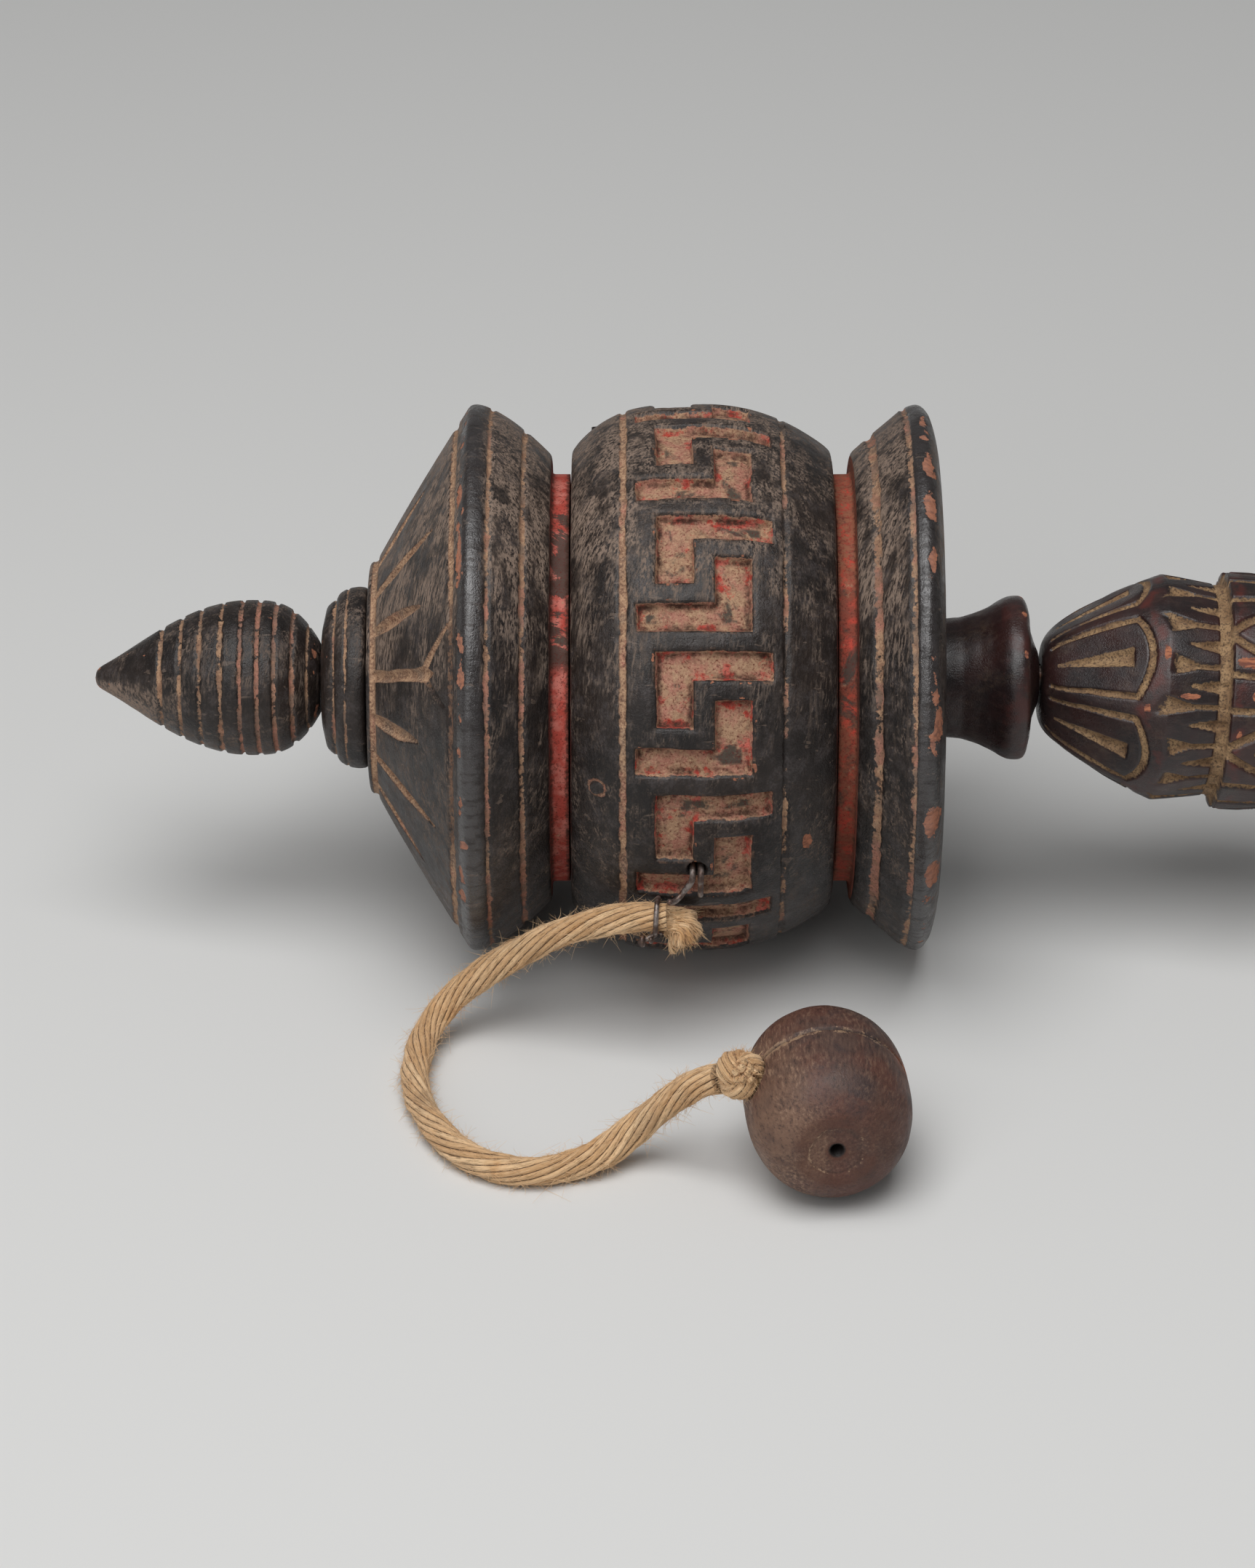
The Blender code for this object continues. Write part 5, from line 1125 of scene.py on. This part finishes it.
def grip_radii(rows):
    """The grip's radius at each row, its turned curves softened and its beads kept sharp."""
    along, radius = np.array(GRIP_PROFILE).T * MM
    grip = np.interp(rows, along, radius)
    sharp = (rows < 0.0311) | ((rows > 0.0516) & (rows < 0.0546)) | ((rows > 0.1288) & (rows < 0.1318))
    return np.where(sharp, grip, softened(grip, 10))


def carve_panels(grid, off, ridge, waver):
    """Each flat panel's outline near its edges, and a wedge that widens from the nose."""
    s = grid.x
    across = grid.r * np.sin(off)
    half_panel = grid.r * math.sin(PANEL_STEP / 2)
    on_panel = (s > 0.0012) & (s < ridge - 0.0004)
    inset = 0.0009 + 0.055 * s
    side_line = np.abs(across + waver) - (half_panel - inset)
    end_line = s + waver - (ridge - 0.0019 - 0.00003 / np.maximum(0.3, np.cos(off)))
    widen = 0.55 + 0.45 * ease(s, 0.002, 0.012)
    grid.cut(side_line, 0.00062, (0.00022 * widen, 0.00048 * widen), (0.0004 * widen, 0.00026),
             on_panel * (s < ridge - 0.0016))
    within = np.abs(across) < half_panel - inset + 0.0005
    grid.cut(end_line, 0.00062, (0.00026, 0.0005), (0.00044, 0.00026), within * on_panel)
    part = (s - 0.002) / 0.0118
    near = np.abs(across + waver) / (0.0003 + 0.00155 * share(part))
    inside = (part > 0) & (part < 1)
    grid.sink(0.00115 * part * (1 - ease(near, 0.25, 1.05)) * ease(1 - part, 0, 0.035) * inside)
    grid.mark("line", (1 - ease(near, 0.8, 1.03)) * ease(1 - part, 0, 0.015) * inside)


def carve_cuts(grid, ridge, waver):
    """Broad cuts from the ridge to the collar, narrow ones between, and the sunk ring they end in."""
    s = grid.x
    turn = CUT_TURN - 0.03 * grid.noise(0.012, 105, 1)
    start = np.minimum(ridge, ridge.max()) + 0.0008 + 0.0004 * grid.noise(0.004, 107, 1)
    part = (s - start) / (CUT_NECK - start)
    near = np.abs(grid.beside(turn, CUT_STEP) + waver) / (0.00048 + 0.00185 * share(1 - part))
    inside = (part > 0) & (s < COLLAR_START)
    deep = 0.0012 * (1 - 0.45 * share(part)) * ease(part, 0, 0.5)
    grid.sink(deep * (1 - ease(near, 0.45, 1.08)) * inside)
    grid.mark("line", (1 - ease(near, 0.85, 1.06)) * inside * ease(part, 0.02, 0.42))
    turn = CUT_TURN + CUT_STEP / 2 - 0.03 * grid.noise(0.012, 106, 1)
    part = (s - CUT_BETWEEN + 0.0006 * grid.noise(0.005, 108, 1)) / (HEAD_END - CUT_BETWEEN)
    near = np.abs(grid.beside(turn, CUT_STEP) + waver) / (0.0001 + 0.00108 * share(part))
    inside = (part > 0) & (s < COLLAR_START)
    grid.sink(0.001 * share(part) * (1 - ease(near, 0.4, 1.08)) * inside)
    grid.mark("line", (1 - ease(near, 0.85, 1.06)) * inside * ease(part, 0, 0.25))
    ring = (s > HEAD_END - 0.0002) & (s < COLLAR_START + 0.0001)
    grid.mark("line", ring * ease(s, HEAD_END - 0.0004, HEAD_END + 0.0001))
    grid.sink(0.0005 * ease(s, HEAD_END - 0.001, HEAD_END + 0.0002) * ring)


def petal_distance(grid, end, degrees, power, least):
    """Distance outside petals that are twice degrees wide at the collar and come to a point at end."""
    half_angle = math.radians(degrees)
    t = np.clip((grid.x - COLLAR_START) / (end - COLLAR_START), least, 1)
    edge = half_angle * (1 - t ** power)
    slope = half_angle * power * t ** (power - 1) / (end - COLLAR_START) * grid.r
    return (np.abs(grid.beside(PETAL_TURN, PANEL_STEP)) - grid.r * edge) / np.sqrt(1 + slope ** 2)


def carve_petals(grid, waver):
    """Outlined petals behind the collar, smaller ones inside them, and a vein between each two."""
    s = grid.x
    outer = petal_distance(grid, PETAL_END, 29.5, 0.75, 0.02)
    inner = petal_distance(grid, INNER_END, 8.8, 2.2, 0)
    leafy = (s > COLLAR_START) & (s < LEAF_END)
    grid.cut(outer + waver, 0.00085, (0.00022, 0.00085), (0.00052, 0.00036), leafy)
    grid.cut(inner + waver, 0.00065, (0.00018, 0.00062), (0.0004, 0.0003), leafy & (s < INNER_END + 0.0005))
    behind = leafy * ease(outer, 0.0008, 0.0016) * ease(s, LEAF_START - 0.0028, LEAF_START + 0.0022)
    grid.sink(0.0007 * behind)
    vein = np.abs(grid.beside(PETAL_TURN + PANEL_STEP / 2, PANEL_STEP))
    vein = vein + FAR * ((s > PETAL_END - 0.0015) | (s < COLLAR_START + 0.0045))
    grid.sink(0.00035 * trench(vein, 0.00014, 0.0004))
    grid.mark("line", 0.8 * trench(vein, 0.00024, 0.00022))


def make_handle():
    columns = 430
    rows = np.concatenate([np.linspace(0, 0.056, 232), np.linspace(0.0564, 0.128, 120),
                           np.linspace(0.1284, HANDLE_LENGTH, 76)])
    grid = Grid([(0, 0.005), (HANDLE_LENGTH, 0.0105)], 0.001, columns)
    s = np.repeat(rows[:, None], columns, axis=1)          # distance along the handle from its nose
    off = wrap_angle(grid.angle - PANEL_TURN, PANEL_STEP) + 0 * s
    panel = (PANEL_START_RADIUS + PANEL_SLOPE * (s - PANEL_START)) / np.cos(off)
    taper = HEAD_TAPER_RADIUS - HEAD_TAPER * (s - HEAD_TAPER_START)
    nose = 0.005 + np.sqrt(2 * 0.0049 * s)
    head = np.minimum(np.minimum(panel, taper), nose)
    # The edge where the panels end is a little rounded.
    head = head - 0.00032 * bell(panel - np.minimum(taper, nose), 0.001, 1)
    # The ridge is where the flat panels meet the head's taper.
    taper_at_nose = HEAD_TAPER_RADIUS + HEAD_TAPER * HEAD_TAPER_START
    panel_at_nose = PANEL_START_RADIUS - PANEL_SLOPE * PANEL_START
    ridge = (taper_at_nose - panel_at_nose / np.cos(off)) / (PANEL_SLOPE / np.cos(off) + HEAD_TAPER)
    grid.x = s
    grid.r = np.where(s < HEAD_END + 0.0002, head, grip_radii(rows)[:, None])
    grid.normal_x, grid.normal_r = 0, 1
    grid.depth = np.zeros_like(s)
    waver = 0.00014 * grid.noise(0.004, 101)
    carve_panels(grid, off, ridge, waver)
    carve_cuts(grid, ridge, waver)
    carve_petals(grid, waver)
    for i, place in enumerate(TURNED_LINES):
        grid.line(s - place, 0.0008, 0.00028, 111 + i, faint=0.6)
    grid.wear(0.0001, 0.005, 121)
    crest = bell(s - ridge, 0.0011) + bell(s - COLLAR_START - 0.0014, 0.001)
    crest = crest + 0.7 * (ease(s, 0.054, 0.062) * (0.5 + 0.5 * grid.noise(0.011, 124)))
    grid.mark("edge", share(crest * (grid.masks["line"] < 0.3)))
    grid.masks["line"] *= 0.74 + 0.26 * ease(s, 0.003, 0.01)
    flakes = grid.noise((0.0022, 0.0017, 0.0017), 122, 4)
    on_collar = ease(s, COLLAR_START + 0.0004, COLLAR_START + 0.0017)
    on_collar = on_collar * ease(LEAF_START + 0.0012 - s, 0, 0.002)
    field = flaking(flakes, 0.98 - 0.36 * (bell(s - ridge, 0.0008) + on_collar))
    for spot in WORN_SPOTS:
        field = np.maximum(field, share(grid.spot(*spot) + 0.25 * flakes))
    grid.mark("chip", field * (grid.masks["line"] < 0.4))
    slant = math.tan(HANDLE_DROOP)
    bore_end = 0.0283
    lifts = [(bore_end + HANDLE_SETBACK) * slant] * 2 + [HANDLE_SETBACK * slant]
    bore = ring_rows([(bore_end, 0.00002), (bore_end, ROD_HOLE), (0, ROD_HOLE)], columns, lifts)
    butt = ring_rows([(HANDLE_LENGTH, 0.006), (HANDLE_LENGTH, 0.002)], columns)
    masks = {name: np.concatenate([np.zeros((3, columns)), value]) for name, value in grid.masks.items()}
    mesh = grid_mesh("handle", [(np.concatenate([bore, grid.carved(), butt]), masks, False)])
    pivot = Matrix.Translation((spool_high.x + SEAM - HANDLE_SETBACK, 0, AXIS_Z))
    turn = Matrix.Rotation(HANDLE_DROOP, 4, "Y")
    nose_place = Matrix.Translation((HANDLE_SETBACK / math.cos(HANDLE_DROOP), 0, 0))
    place = pivot @ turn @ nose_place
    add_piece("visual_handle", mesh, maroon, "handle", "maroon_wood", "handle", place=place)


# ------------------------------------------------------------------ staple, cord and weight
STAPLE_WIRE = 0.0005                       # radius of the wire, as is the next
TIE_WIRE = 0.0004
CORD_HAIRS = 3600
TUFT_YARNS = 17
TUFT_YARN_HAIRS = 60
KNOT_HAIRS = 1300


def polar(x, radius, angle):
    return np.array((x, -radius * math.cos(angle), radius * math.sin(angle)))


def swing(first, second, angle):
    """The direction that starts at first and turns towards second."""
    return first * math.cos(angle) + second * math.sin(angle)


def any_way(rng):
    return np.array([rng.uniform(-1, 1) for _ in range(3)])


def line_piece(node, grids, material=jute, slot="jute"):
    """The piece for a node of the line, built from the floor under the drum's middle."""
    return add_piece("visual_" + node, grid_mesh(node, grids), material, "line", slot, node, place=TO_FLOOR)


def make_staple():
    """A short leg, a hairpin in its hole, and a leg with a hook: lift off the drum, degrees down."""
    lie = RIM + SEAM + STAPLE_WIRE
    pitch = STAPLE_WIRE + 0.00015
    left, right = STAPLE_X - pitch, STAPLE_X + pitch
    shape = [(right, 0, 7), (right, 0, 3.5), (right, 0, 1.2)]
    shape += [(x, -0.0058 * deep, down) for x, deep, down in
              ((right, 0.1, 0.4), (right, 0.52, 0), (right, 0.9, 0), (STAPLE_X, 1, 0),
               (left, 0.9, 0), (left, 0.52, 0), (left, 0.1, 0.4))]
    shape += [(left - 0.0038 * reach, 0.0023 * lift, down) for reach, lift, down in
              ((0, 0, 1.2), (0.1, 0, 3), (0.3, 0.1, 4.5), (0.5, 0.35, 5.6), (0.7, 0.65, 6),
               (0.9, 0.9, 5.7), (1, 1, 4.9))]
    route = smooth_route([polar(x, lie + lift, STAPLE_ANGLE - math.radians(down)) for x, lift, down in shape],
                         0.00022)
    uneven = STAPLE_WIRE * (1 - 0.06 * np.sin(np.arange(len(route)) / 5))
    width = np.minimum(round_ends(route, STAPLE_WIRE), uneven)
    rows, _ = tube_points(route, width, 16, rough=0.00004, seed=131)
    mesh = grid_mesh("drum_staple", [(rows, {}, False)])
    add_piece("visual_drum_staple", mesh, iron, "drum", "iron", "drum_staple")


# The cord's middle line up to the knot, and the directions at its start: along, sideways and up.
route = np.array(CORD_ROUTE) * MM
knot_face = KNOT_CENTRE + (Vector(route[-1]) - KNOT_CENTRE).normalized() * (KNOT_RADIUS + SEAM)
cord_line = smooth_route([*route, knot_face], 0.00028)
cord_start = cord_line[0]
cord_way = unit(cord_line[8] - cord_start)
cord_side = unit(np.cross(cord_way, (0, 0, 1)))
cord_up = np.cross(cord_side, cord_way)


def make_wire_tie():
    """A wire once round the cord's end, its tail twisted back on itself under the cord."""
    reach = CORD_RADIUS + SEAM + TIE_WIRE
    middle = cord_start + cord_way * 0.0009
    points = [middle + swing(cord_side, cord_up, math.radians(-100 + 340 * i / 32)) * reach
              + cord_way * 0.001 * i / 32 for i in range(33)]
    tail_way = unit(cord_way * 1.4 - cord_up * 0.7)
    side = unit(np.cross(tail_way, cord_up))
    other = np.cross(side, tail_way)
    tail = [points[-1] + tail_way * 0.0031 * i / 14 for i in range(15)]
    back = [tail[i] + swing(side, other, 0.9 * i) * 1.7 * TIE_WIRE for i in range(14, 2, -1)]
    tubes = []
    for seed, points in ((141, points + tail[1:]), (142, back)):
        route = smooth_route(points, 0.0002)
        rows, _ = tube_points(route, round_ends(route, TIE_WIRE), 14, rough=0.00004, seed=seed)
        tubes.append((rows, {}, False))
    return line_piece("wire_tie", tubes, iron, "iron")


def hair(start, way, length, radius, rng, tone):
    """A short bent fibre from a point."""
    bend = np.array([rng.uniform(-1, 1), rng.uniform(-1, 1), rng.uniform(-1, 0.5)]) * 0.6
    t = np.linspace(0, 1, 5)[:, None]
    route = start + length * (unit(way) * t + bend * t * t)
    route[:, 2] = np.maximum(route[:, 2], 0.0001)
    rows, _ = tube_points(route, radius * (1 - 0.7 * t[:, 0]), 3)
    shape = rows.shape[:2]
    return rows, {"strand": np.ones(shape), "tone": np.full(shape, tone)}, False


def make_cord():
    """Laid jute yarns as one lobed tube along the route, with loose hairs on it."""
    count = len(cord_line)
    along = np.arange(count) / count
    lumps = noise(cord_line[:, None, :], 0.0055, 155)[:, 0]
    thick = CORD_RADIUS * (1.04 + 0.05 * np.sin(9 * along) + 0.035 * np.sin(31 * along + 1) + 0.06 * lumps)
    thick *= 0.93 + 0.07 * ease(along, 0, 0.03)
    rows, masks = tube_points(cord_line, thick, 176, lobes=12, lobe_depth=0.0005, pitch=-0.043,
                              rough=0.00016, seed=151)
    rows[..., 2] = np.maximum(rows[..., 2], 0)
    cord = line_piece("cord", [(rows, masks, False)])
    rng = random.Random(5)
    tangent, side, other = carried_frames(cord_line)
    hairs = []
    for _ in range(CORD_HAIRS):
        i = rng.randrange(2, count - 2)
        out = swing(side[i], other[i], rng.uniform(0, 2 * math.pi))
        lean = tangent[i] * rng.choice((-1, 1)) * rng.uniform(0.4, 2.6)
        length = rng.uniform(0.0007, 0.0024) * (1.8 if rng.random() < 0.12 else 1)
        hairs.append(hair(cord_line[i] + out * thick[i] * 0.9, out * rng.uniform(0.25, 1) + lean, length,
                          0.000036, rng, rng.uniform(0.4, 1)))
    fuzz = add_piece("cord_fuzz", grid_mesh("cord_fuzz", hairs), jute, "line", "jute", place=TO_FLOOR)
    return cord, fuzz


def make_tuft():
    """The cord's frayed end: yarn ends that fan out below the tie, and their loose fibres."""
    rng = random.Random(9)
    fall = np.array(TUFT_END) - cord_start
    across = unit(np.cross(fall, (0, 1, 0)))
    other = np.cross(across, unit(fall))
    parts = []
    for i in range(TUFT_YARNS):
        spread = math.sqrt((i + 0.5) / TUFT_YARNS)
        fan = swing(across, other, 2.4 * i)
        start = cord_start + cord_way * 0.001 + swing(cord_side, cord_up, 2.4 * i) * 0.0014 * spread
        tip = cord_start + fall * rng.uniform(0.6, 0.86) + fan * 0.003 * spread
        middle = cord_start - cord_way * 0.0013 + fall * 0.28 + fan * 0.0022 * spread
        route = smooth_route([start, (start + middle) / 2 - cord_way * 0.0006, middle,
                              middle + (tip - middle) * 0.55 + fan * 0.0004, tip], 0.0002)
        flare = 1 + 0.22 * ease(np.linspace(0, 1, len(route)), 0.6, 1)
        width = np.minimum(round_ends(route, 0.00064), 0.00064) * rng.uniform(0.85, 1.1) * flare
        parts.append((*tube_points(route, width, 40, lobes=6, lobe_depth=0.00022, pitch=-0.009,
                                   rough=0.00022, seed=160 + i), False))
        for _ in range(TUFT_YARN_HAIRS):
            k = rng.randrange(len(route) // 3, len(route))
            around = any_way(rng)
            way = (route[-1] - route[len(route) // 2]) / 0.003 + 0.7 * around
            parts.append(hair(route[k] + around * 0.0005, way, rng.uniform(0.0006, 0.0017), 0.000045, rng,
                              rng.uniform(0.4, 1)))
    return line_piece("cord_tuft", parts)


def make_knot():
    """A pulled overhand knot, a frayed end that shows on its front, and a stem into the weight."""
    centre = np.array(KNOT_CENTRE)
    yarn = 0.00195
    size = (KNOT_RADIUS - yarn) / 3 * 1.22
    toward = unit(WEIGHT_CENTRE - KNOT_CENTRE)
    facing = unit((0.15, -0.8, 0.58))
    right = unit(np.cross(facing, toward))
    up = np.cross(right, facing)
    t = np.linspace(0, 2 * math.pi, 150)[:-2, None]
    flat = (np.sin(t) + 2 * np.sin(2 * t)) * up + (np.cos(t) - 2 * np.cos(2 * t)) * right
    ring = centre + size * (flat - 1.25 * np.sin(3 * t) * facing)
    rows, masks = tube_points(ring, yarn, 96, lobes=9, lobe_depth=0.00036, pitch=-0.017,
                              rough=0.00048, seed=181)
    amber_place = centre + KNOT_RADIUS * (0.8 * toward + 0.6 * facing + 0.4 * up)
    masks["amber"] = bell(np.linalg.norm(rows - amber_place, axis=-1), 0.0019)
    parts = [(rows, masks, False)]
    stem = np.linspace(0, 1, 30)[:, None] * toward * (KNOT_RADIUS + 0.0048) + centre
    parts.append((*tube_points(stem, 0.00165, 40, lobes=7, lobe_depth=0.0003, pitch=0.01, seed=182), False))
    rng = random.Random(17)
    for i in range(9):
        spread = math.sqrt((i + 0.5) / 9)
        out = unit(facing + 0.62 * spread * swing(up, right, 2.4 * i))
        route = centre + np.linspace(0.3, 1, 14)[:, None] * out * KNOT_RADIUS * rng.uniform(0.98, 1.08)
        width = np.minimum(round_ends(route, 0.00068), 0.00068)
        parts.append((*tube_points(route, width, 24, lobes=4, lobe_depth=0.00018, pitch=0.006,
                                   rough=0.00016, seed=190 + i), False))
    for _ in range(KNOT_HAIRS):
        out = unit([rng.gauss(0, 1) for _ in range(3)])
        if np.dot(out, toward) <= 0.55:
            parts.append(hair(centre + out * KNOT_RADIUS * 0.9, 0.7 * out + any_way(rng),
                              rng.uniform(0.0005, 0.0014), 0.000034, rng, rng.uniform(0.4, 1)))
    return line_piece("cord_knot", parts)


def make_weight():
    """A fat turned barrel, seamed behind its middle, with a ringed front and a seat for the knot."""
    radius = (weight_high.z - weight_low.z) / 2
    half_length = 0.0142
    end_radius = 0.0062
    power = 2.8
    hole = 0.0009
    narrowing = 1 - (end_radius / radius) ** power
    profile = [(x, radius * (1 - narrowing * (abs(x) / half_length) ** power) ** (1 / power))
               for x in half_length * np.sin(np.linspace(-math.pi / 2, math.pi / 2, 70))]
    mouth = [(half_length, 0.003), (half_length - 0.0002, hole + 0.0004), (half_length - 0.0005, hole)]
    outline = [(-x, r) for x, r in reversed(mouth)] + profile + mouth
    grid = Grid(outline, 0.0002, 420, soften=3)
    left = np.cos(grid.angle) + 0 * grid.x
    side = grid.r > end_radius + 0.0004
    seam = grid.x + 0.0008 + 0.00022 * grid.noise(0.008, 201)
    crumbs = 0.00022 * trench(seam, 0.0007, 0.0006) * share(0.3 + grid.noise(0.0016, 202, 3))
    grid.sink((0.0005 * trench(seam, 0.00016, 0.00036) + crumbs) * side)
    shown = np.clip(0.75 + 0.9 * grid.noise(0.003, 203), 0.25, 1)
    grid.mark("dark", 0.85 * trench(seam, 0.00022, 0.00026) * side * shown)
    pale_seam = (0.38 + 0.22 * ease(left, -0.2, 0.8)) * (1 + 0.5 * grid.noise(0.0015, 207))
    grid.mark("line", trench(seam - 0.0003, 0.0006, 0.0009) * side * pale_seam)
    grid.wear(0.00012, 0.005, 204)
    front = (grid.x > 0) & (grid.r < end_radius + 0.0016)
    cracked = grid.r - 0.0042 - 0.0006 * grid.noise(0.0024, 205, 3)
    grid.sink(0.0002 * ease(-cracked, -0.0002, 0.0001) * front)
    kept = np.clip(0.42 + 0.9 * grid.noise(0.003, 206), 0, 0.8)
    grid.mark("line", kept * trench(cracked, 0.00008, 0.00022) * front)
    grid.mark("dark", 0.45 * trench(cracked + 0.0003, 0.00008, 0.00022) * front * (0.8 - kept))
    around_end = 1 - ease(grid.r, end_radius - 0.0006, end_radius + 0.0016)
    grid.mark("rust", (0.3 + 0.3 * ease(cracked, 0, 0.0003)) * around_end * front)
    grid.mark("rust", 0.9 * trench(grid.r - hole, 0.0005, 0.001) * front)
    # Painted shade darkens the shallow hole in the front.
    grid.mark("dark", trench(grid.r - hole, 0.00012, 0.0004) * (grid.r < 0.0024))
    spot = bell(grid.x + 0.0002, 0.0021) * bell(wrap_angle(grid.angle - math.pi + 0.35), 0.26)
    grid.mark("orange", spot)
    grid.mark("rust", 0.7 * spot ** 0.5)
    grid.mark("rust", 0.45 * ease(-left, 0.2, 0.9) * ease(grid.x, 0, half_length))
    grid.mark("pale", ease(left, 0.05, 0.95) * (1 - 0.5 * ease(-grid.x, 0.002, 0.008)))

    turn = Matrix.Rotation(WEIGHT_YAW - math.pi / 2, 3, "Z")
    lying = Vector((0, 0, radius - WEIGHT_CENTRE.z))       # so that it rests on the floor
    knot = np.array(turn.inverted() @ (KNOT_CENTRE - WEIGHT_CENTRE - lying))
    # The surface is pushed in along its normals where the knot sits in it.
    surface = grid.carved()
    normals = np.stack([np.broadcast_to(grid.normal_x, grid.x.shape), -grid.normal_r * np.cos(grid.angle),
                        grid.normal_r * np.sin(grid.angle)], axis=-1)
    away = surface - knot
    inward = (away * normals).sum(axis=-1)
    inside = (KNOT_RADIUS + SEAM) ** 2 - (away * away).sum(axis=-1)
    push = np.where(inside > 0, inward + np.sqrt(np.maximum(inward ** 2 + inside, 0)), 0)
    surface = surface - normals * push[..., None]
    grid.masks["line"] = grid.masks["line"] * (push < 0.0002)
    # Painted shadow on the weight where the knot sits against it.
    grid.mark("dark", 0.6 * ease(push, 0.0001, 0.0008))
    mesh = grid_mesh("weight", [(surface, grid.masks, True)])
    place = TO_FLOOR @ Matrix.Translation(WEIGHT_CENTRE + lying) @ turn.to_4x4()
    return add_piece("visual_weight", mesh, brown, "line", "worn_wood", "weight", place=place)


# ------------------------------------------------------------------ pieces
cord, cord_fuzz = make_cord()
with_cord = [cord_fuzz, make_wire_tie(), make_tuft(), make_knot(), make_weight()]
path = [tuple(point + np.array((MIDDLE_X, 0, 0))) for point in [*cord_line[::3], cord_line[-1]]]
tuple(path[0])
make_lid()
make_barrel()
make_base()
make_collar()
make_finial()
make_spool()
make_handle()
make_staple()

bone = plain_grain("bone", (0.62, 0.54, 0.38), (0.52, 0.42, 0.26), 900, (3.3, 1, 1), 0.42)
bamboo = plain_grain("bamboo", (0.5, 0.34, 0.15), (0.36, 0.225, 0.09), 1500, (10, 1, 1), 0.55)
rag_paper = plain_grain("handmade paper", (0.64, 0.54, 0.37), (0.5, 0.4, 0.24), 420, (1, 1, 1), 0.85, 0.00015)
silk = plain_grain("yellow silk", (0.62, 0.36, 0.06), (0.48, 0.25, 0.03), 2600, (5, 1, 1), 0.55)
string = plain_grain("red string", (0.38, 0.045, 0.03), (0.23, 0.02, 0.015), 2200, (1, 2, 1), 0.8, 0.0002)
carried_over = {
    "spindle_rod": iron, "lid_bush": bone, "base_bush": bone, "axle_tube": bamboo,
    "prayer_scroll": rag_paper, "scroll_wrap": silk, "scroll_tie_lid": string, "scroll_tie_base": string,
    "lid_peg_1": lacquer_barrel, "lid_peg_2": lacquer_barrel, "lid_peg_3": lacquer_barrel,
}
for node, material in carried_over.items():
    for material_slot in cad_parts[node].material_slots:
        material_slot.material = material

# ------------------------------------------------------------------ floor and light
floor_mesh = bpy.data.meshes.new("floor")
floor_mesh.from_pydata([(-3, -3, 0), (3, -3, 0), (3, 3, 0), (-3, 3, 0)], [], [(0, 1, 2, 3)])
floor = new_object("floor", floor_mesh)
floor.location.z = -0.00005                # just below the cord and the weight that lie on it
paper = bpy.data.materials.new("pale floor")
paper.use_nodes = True
paper.node_tree.nodes["Principled BSDF"].inputs["Base Color"].default_value = (0.7, 0.7, 0.69, 1)
paper.node_tree.nodes["Principled BSDF"].inputs["Roughness"].default_value = 0.9
floor_mesh.materials.append(paper)


def add_lamp(name, place, size, level):
    """A square soft lamp, aimed at the drum, that lights a surface facing it by about level."""
    data = bpy.data.lights.new(name, "AREA")
    data.size = size
    lamp = new_object(name, data)
    lamp.location = place
    way = Vector((MIDDLE_X, 0, 0.03)) - Vector(place)
    data.energy = level * math.pi ** 2 * (way.length_squared + size ** 2 / 4)
    lamp.rotation_euler = way.to_track_quat("-Z", "Y").to_euler()


add_lamp("key", (MIDDLE_X - 0.1, -0.36, 1.03), size=0.85, level=0.74)
add_lamp("front fill", (MIDDLE_X - 0.55, -1.15, 0.75), size=0.9, level=0.17)

world = bpy.data.worlds.new("studio")
world.use_nodes = True
world.node_tree.nodes["Background"].inputs["Color"].default_value = (1, 1, 1, 1)
world.node_tree.nodes["Background"].inputs["Strength"].default_value = 0.15
bpy.context.scene.world = world
bpy.context.scene.view_settings.view_transform = "Standard"
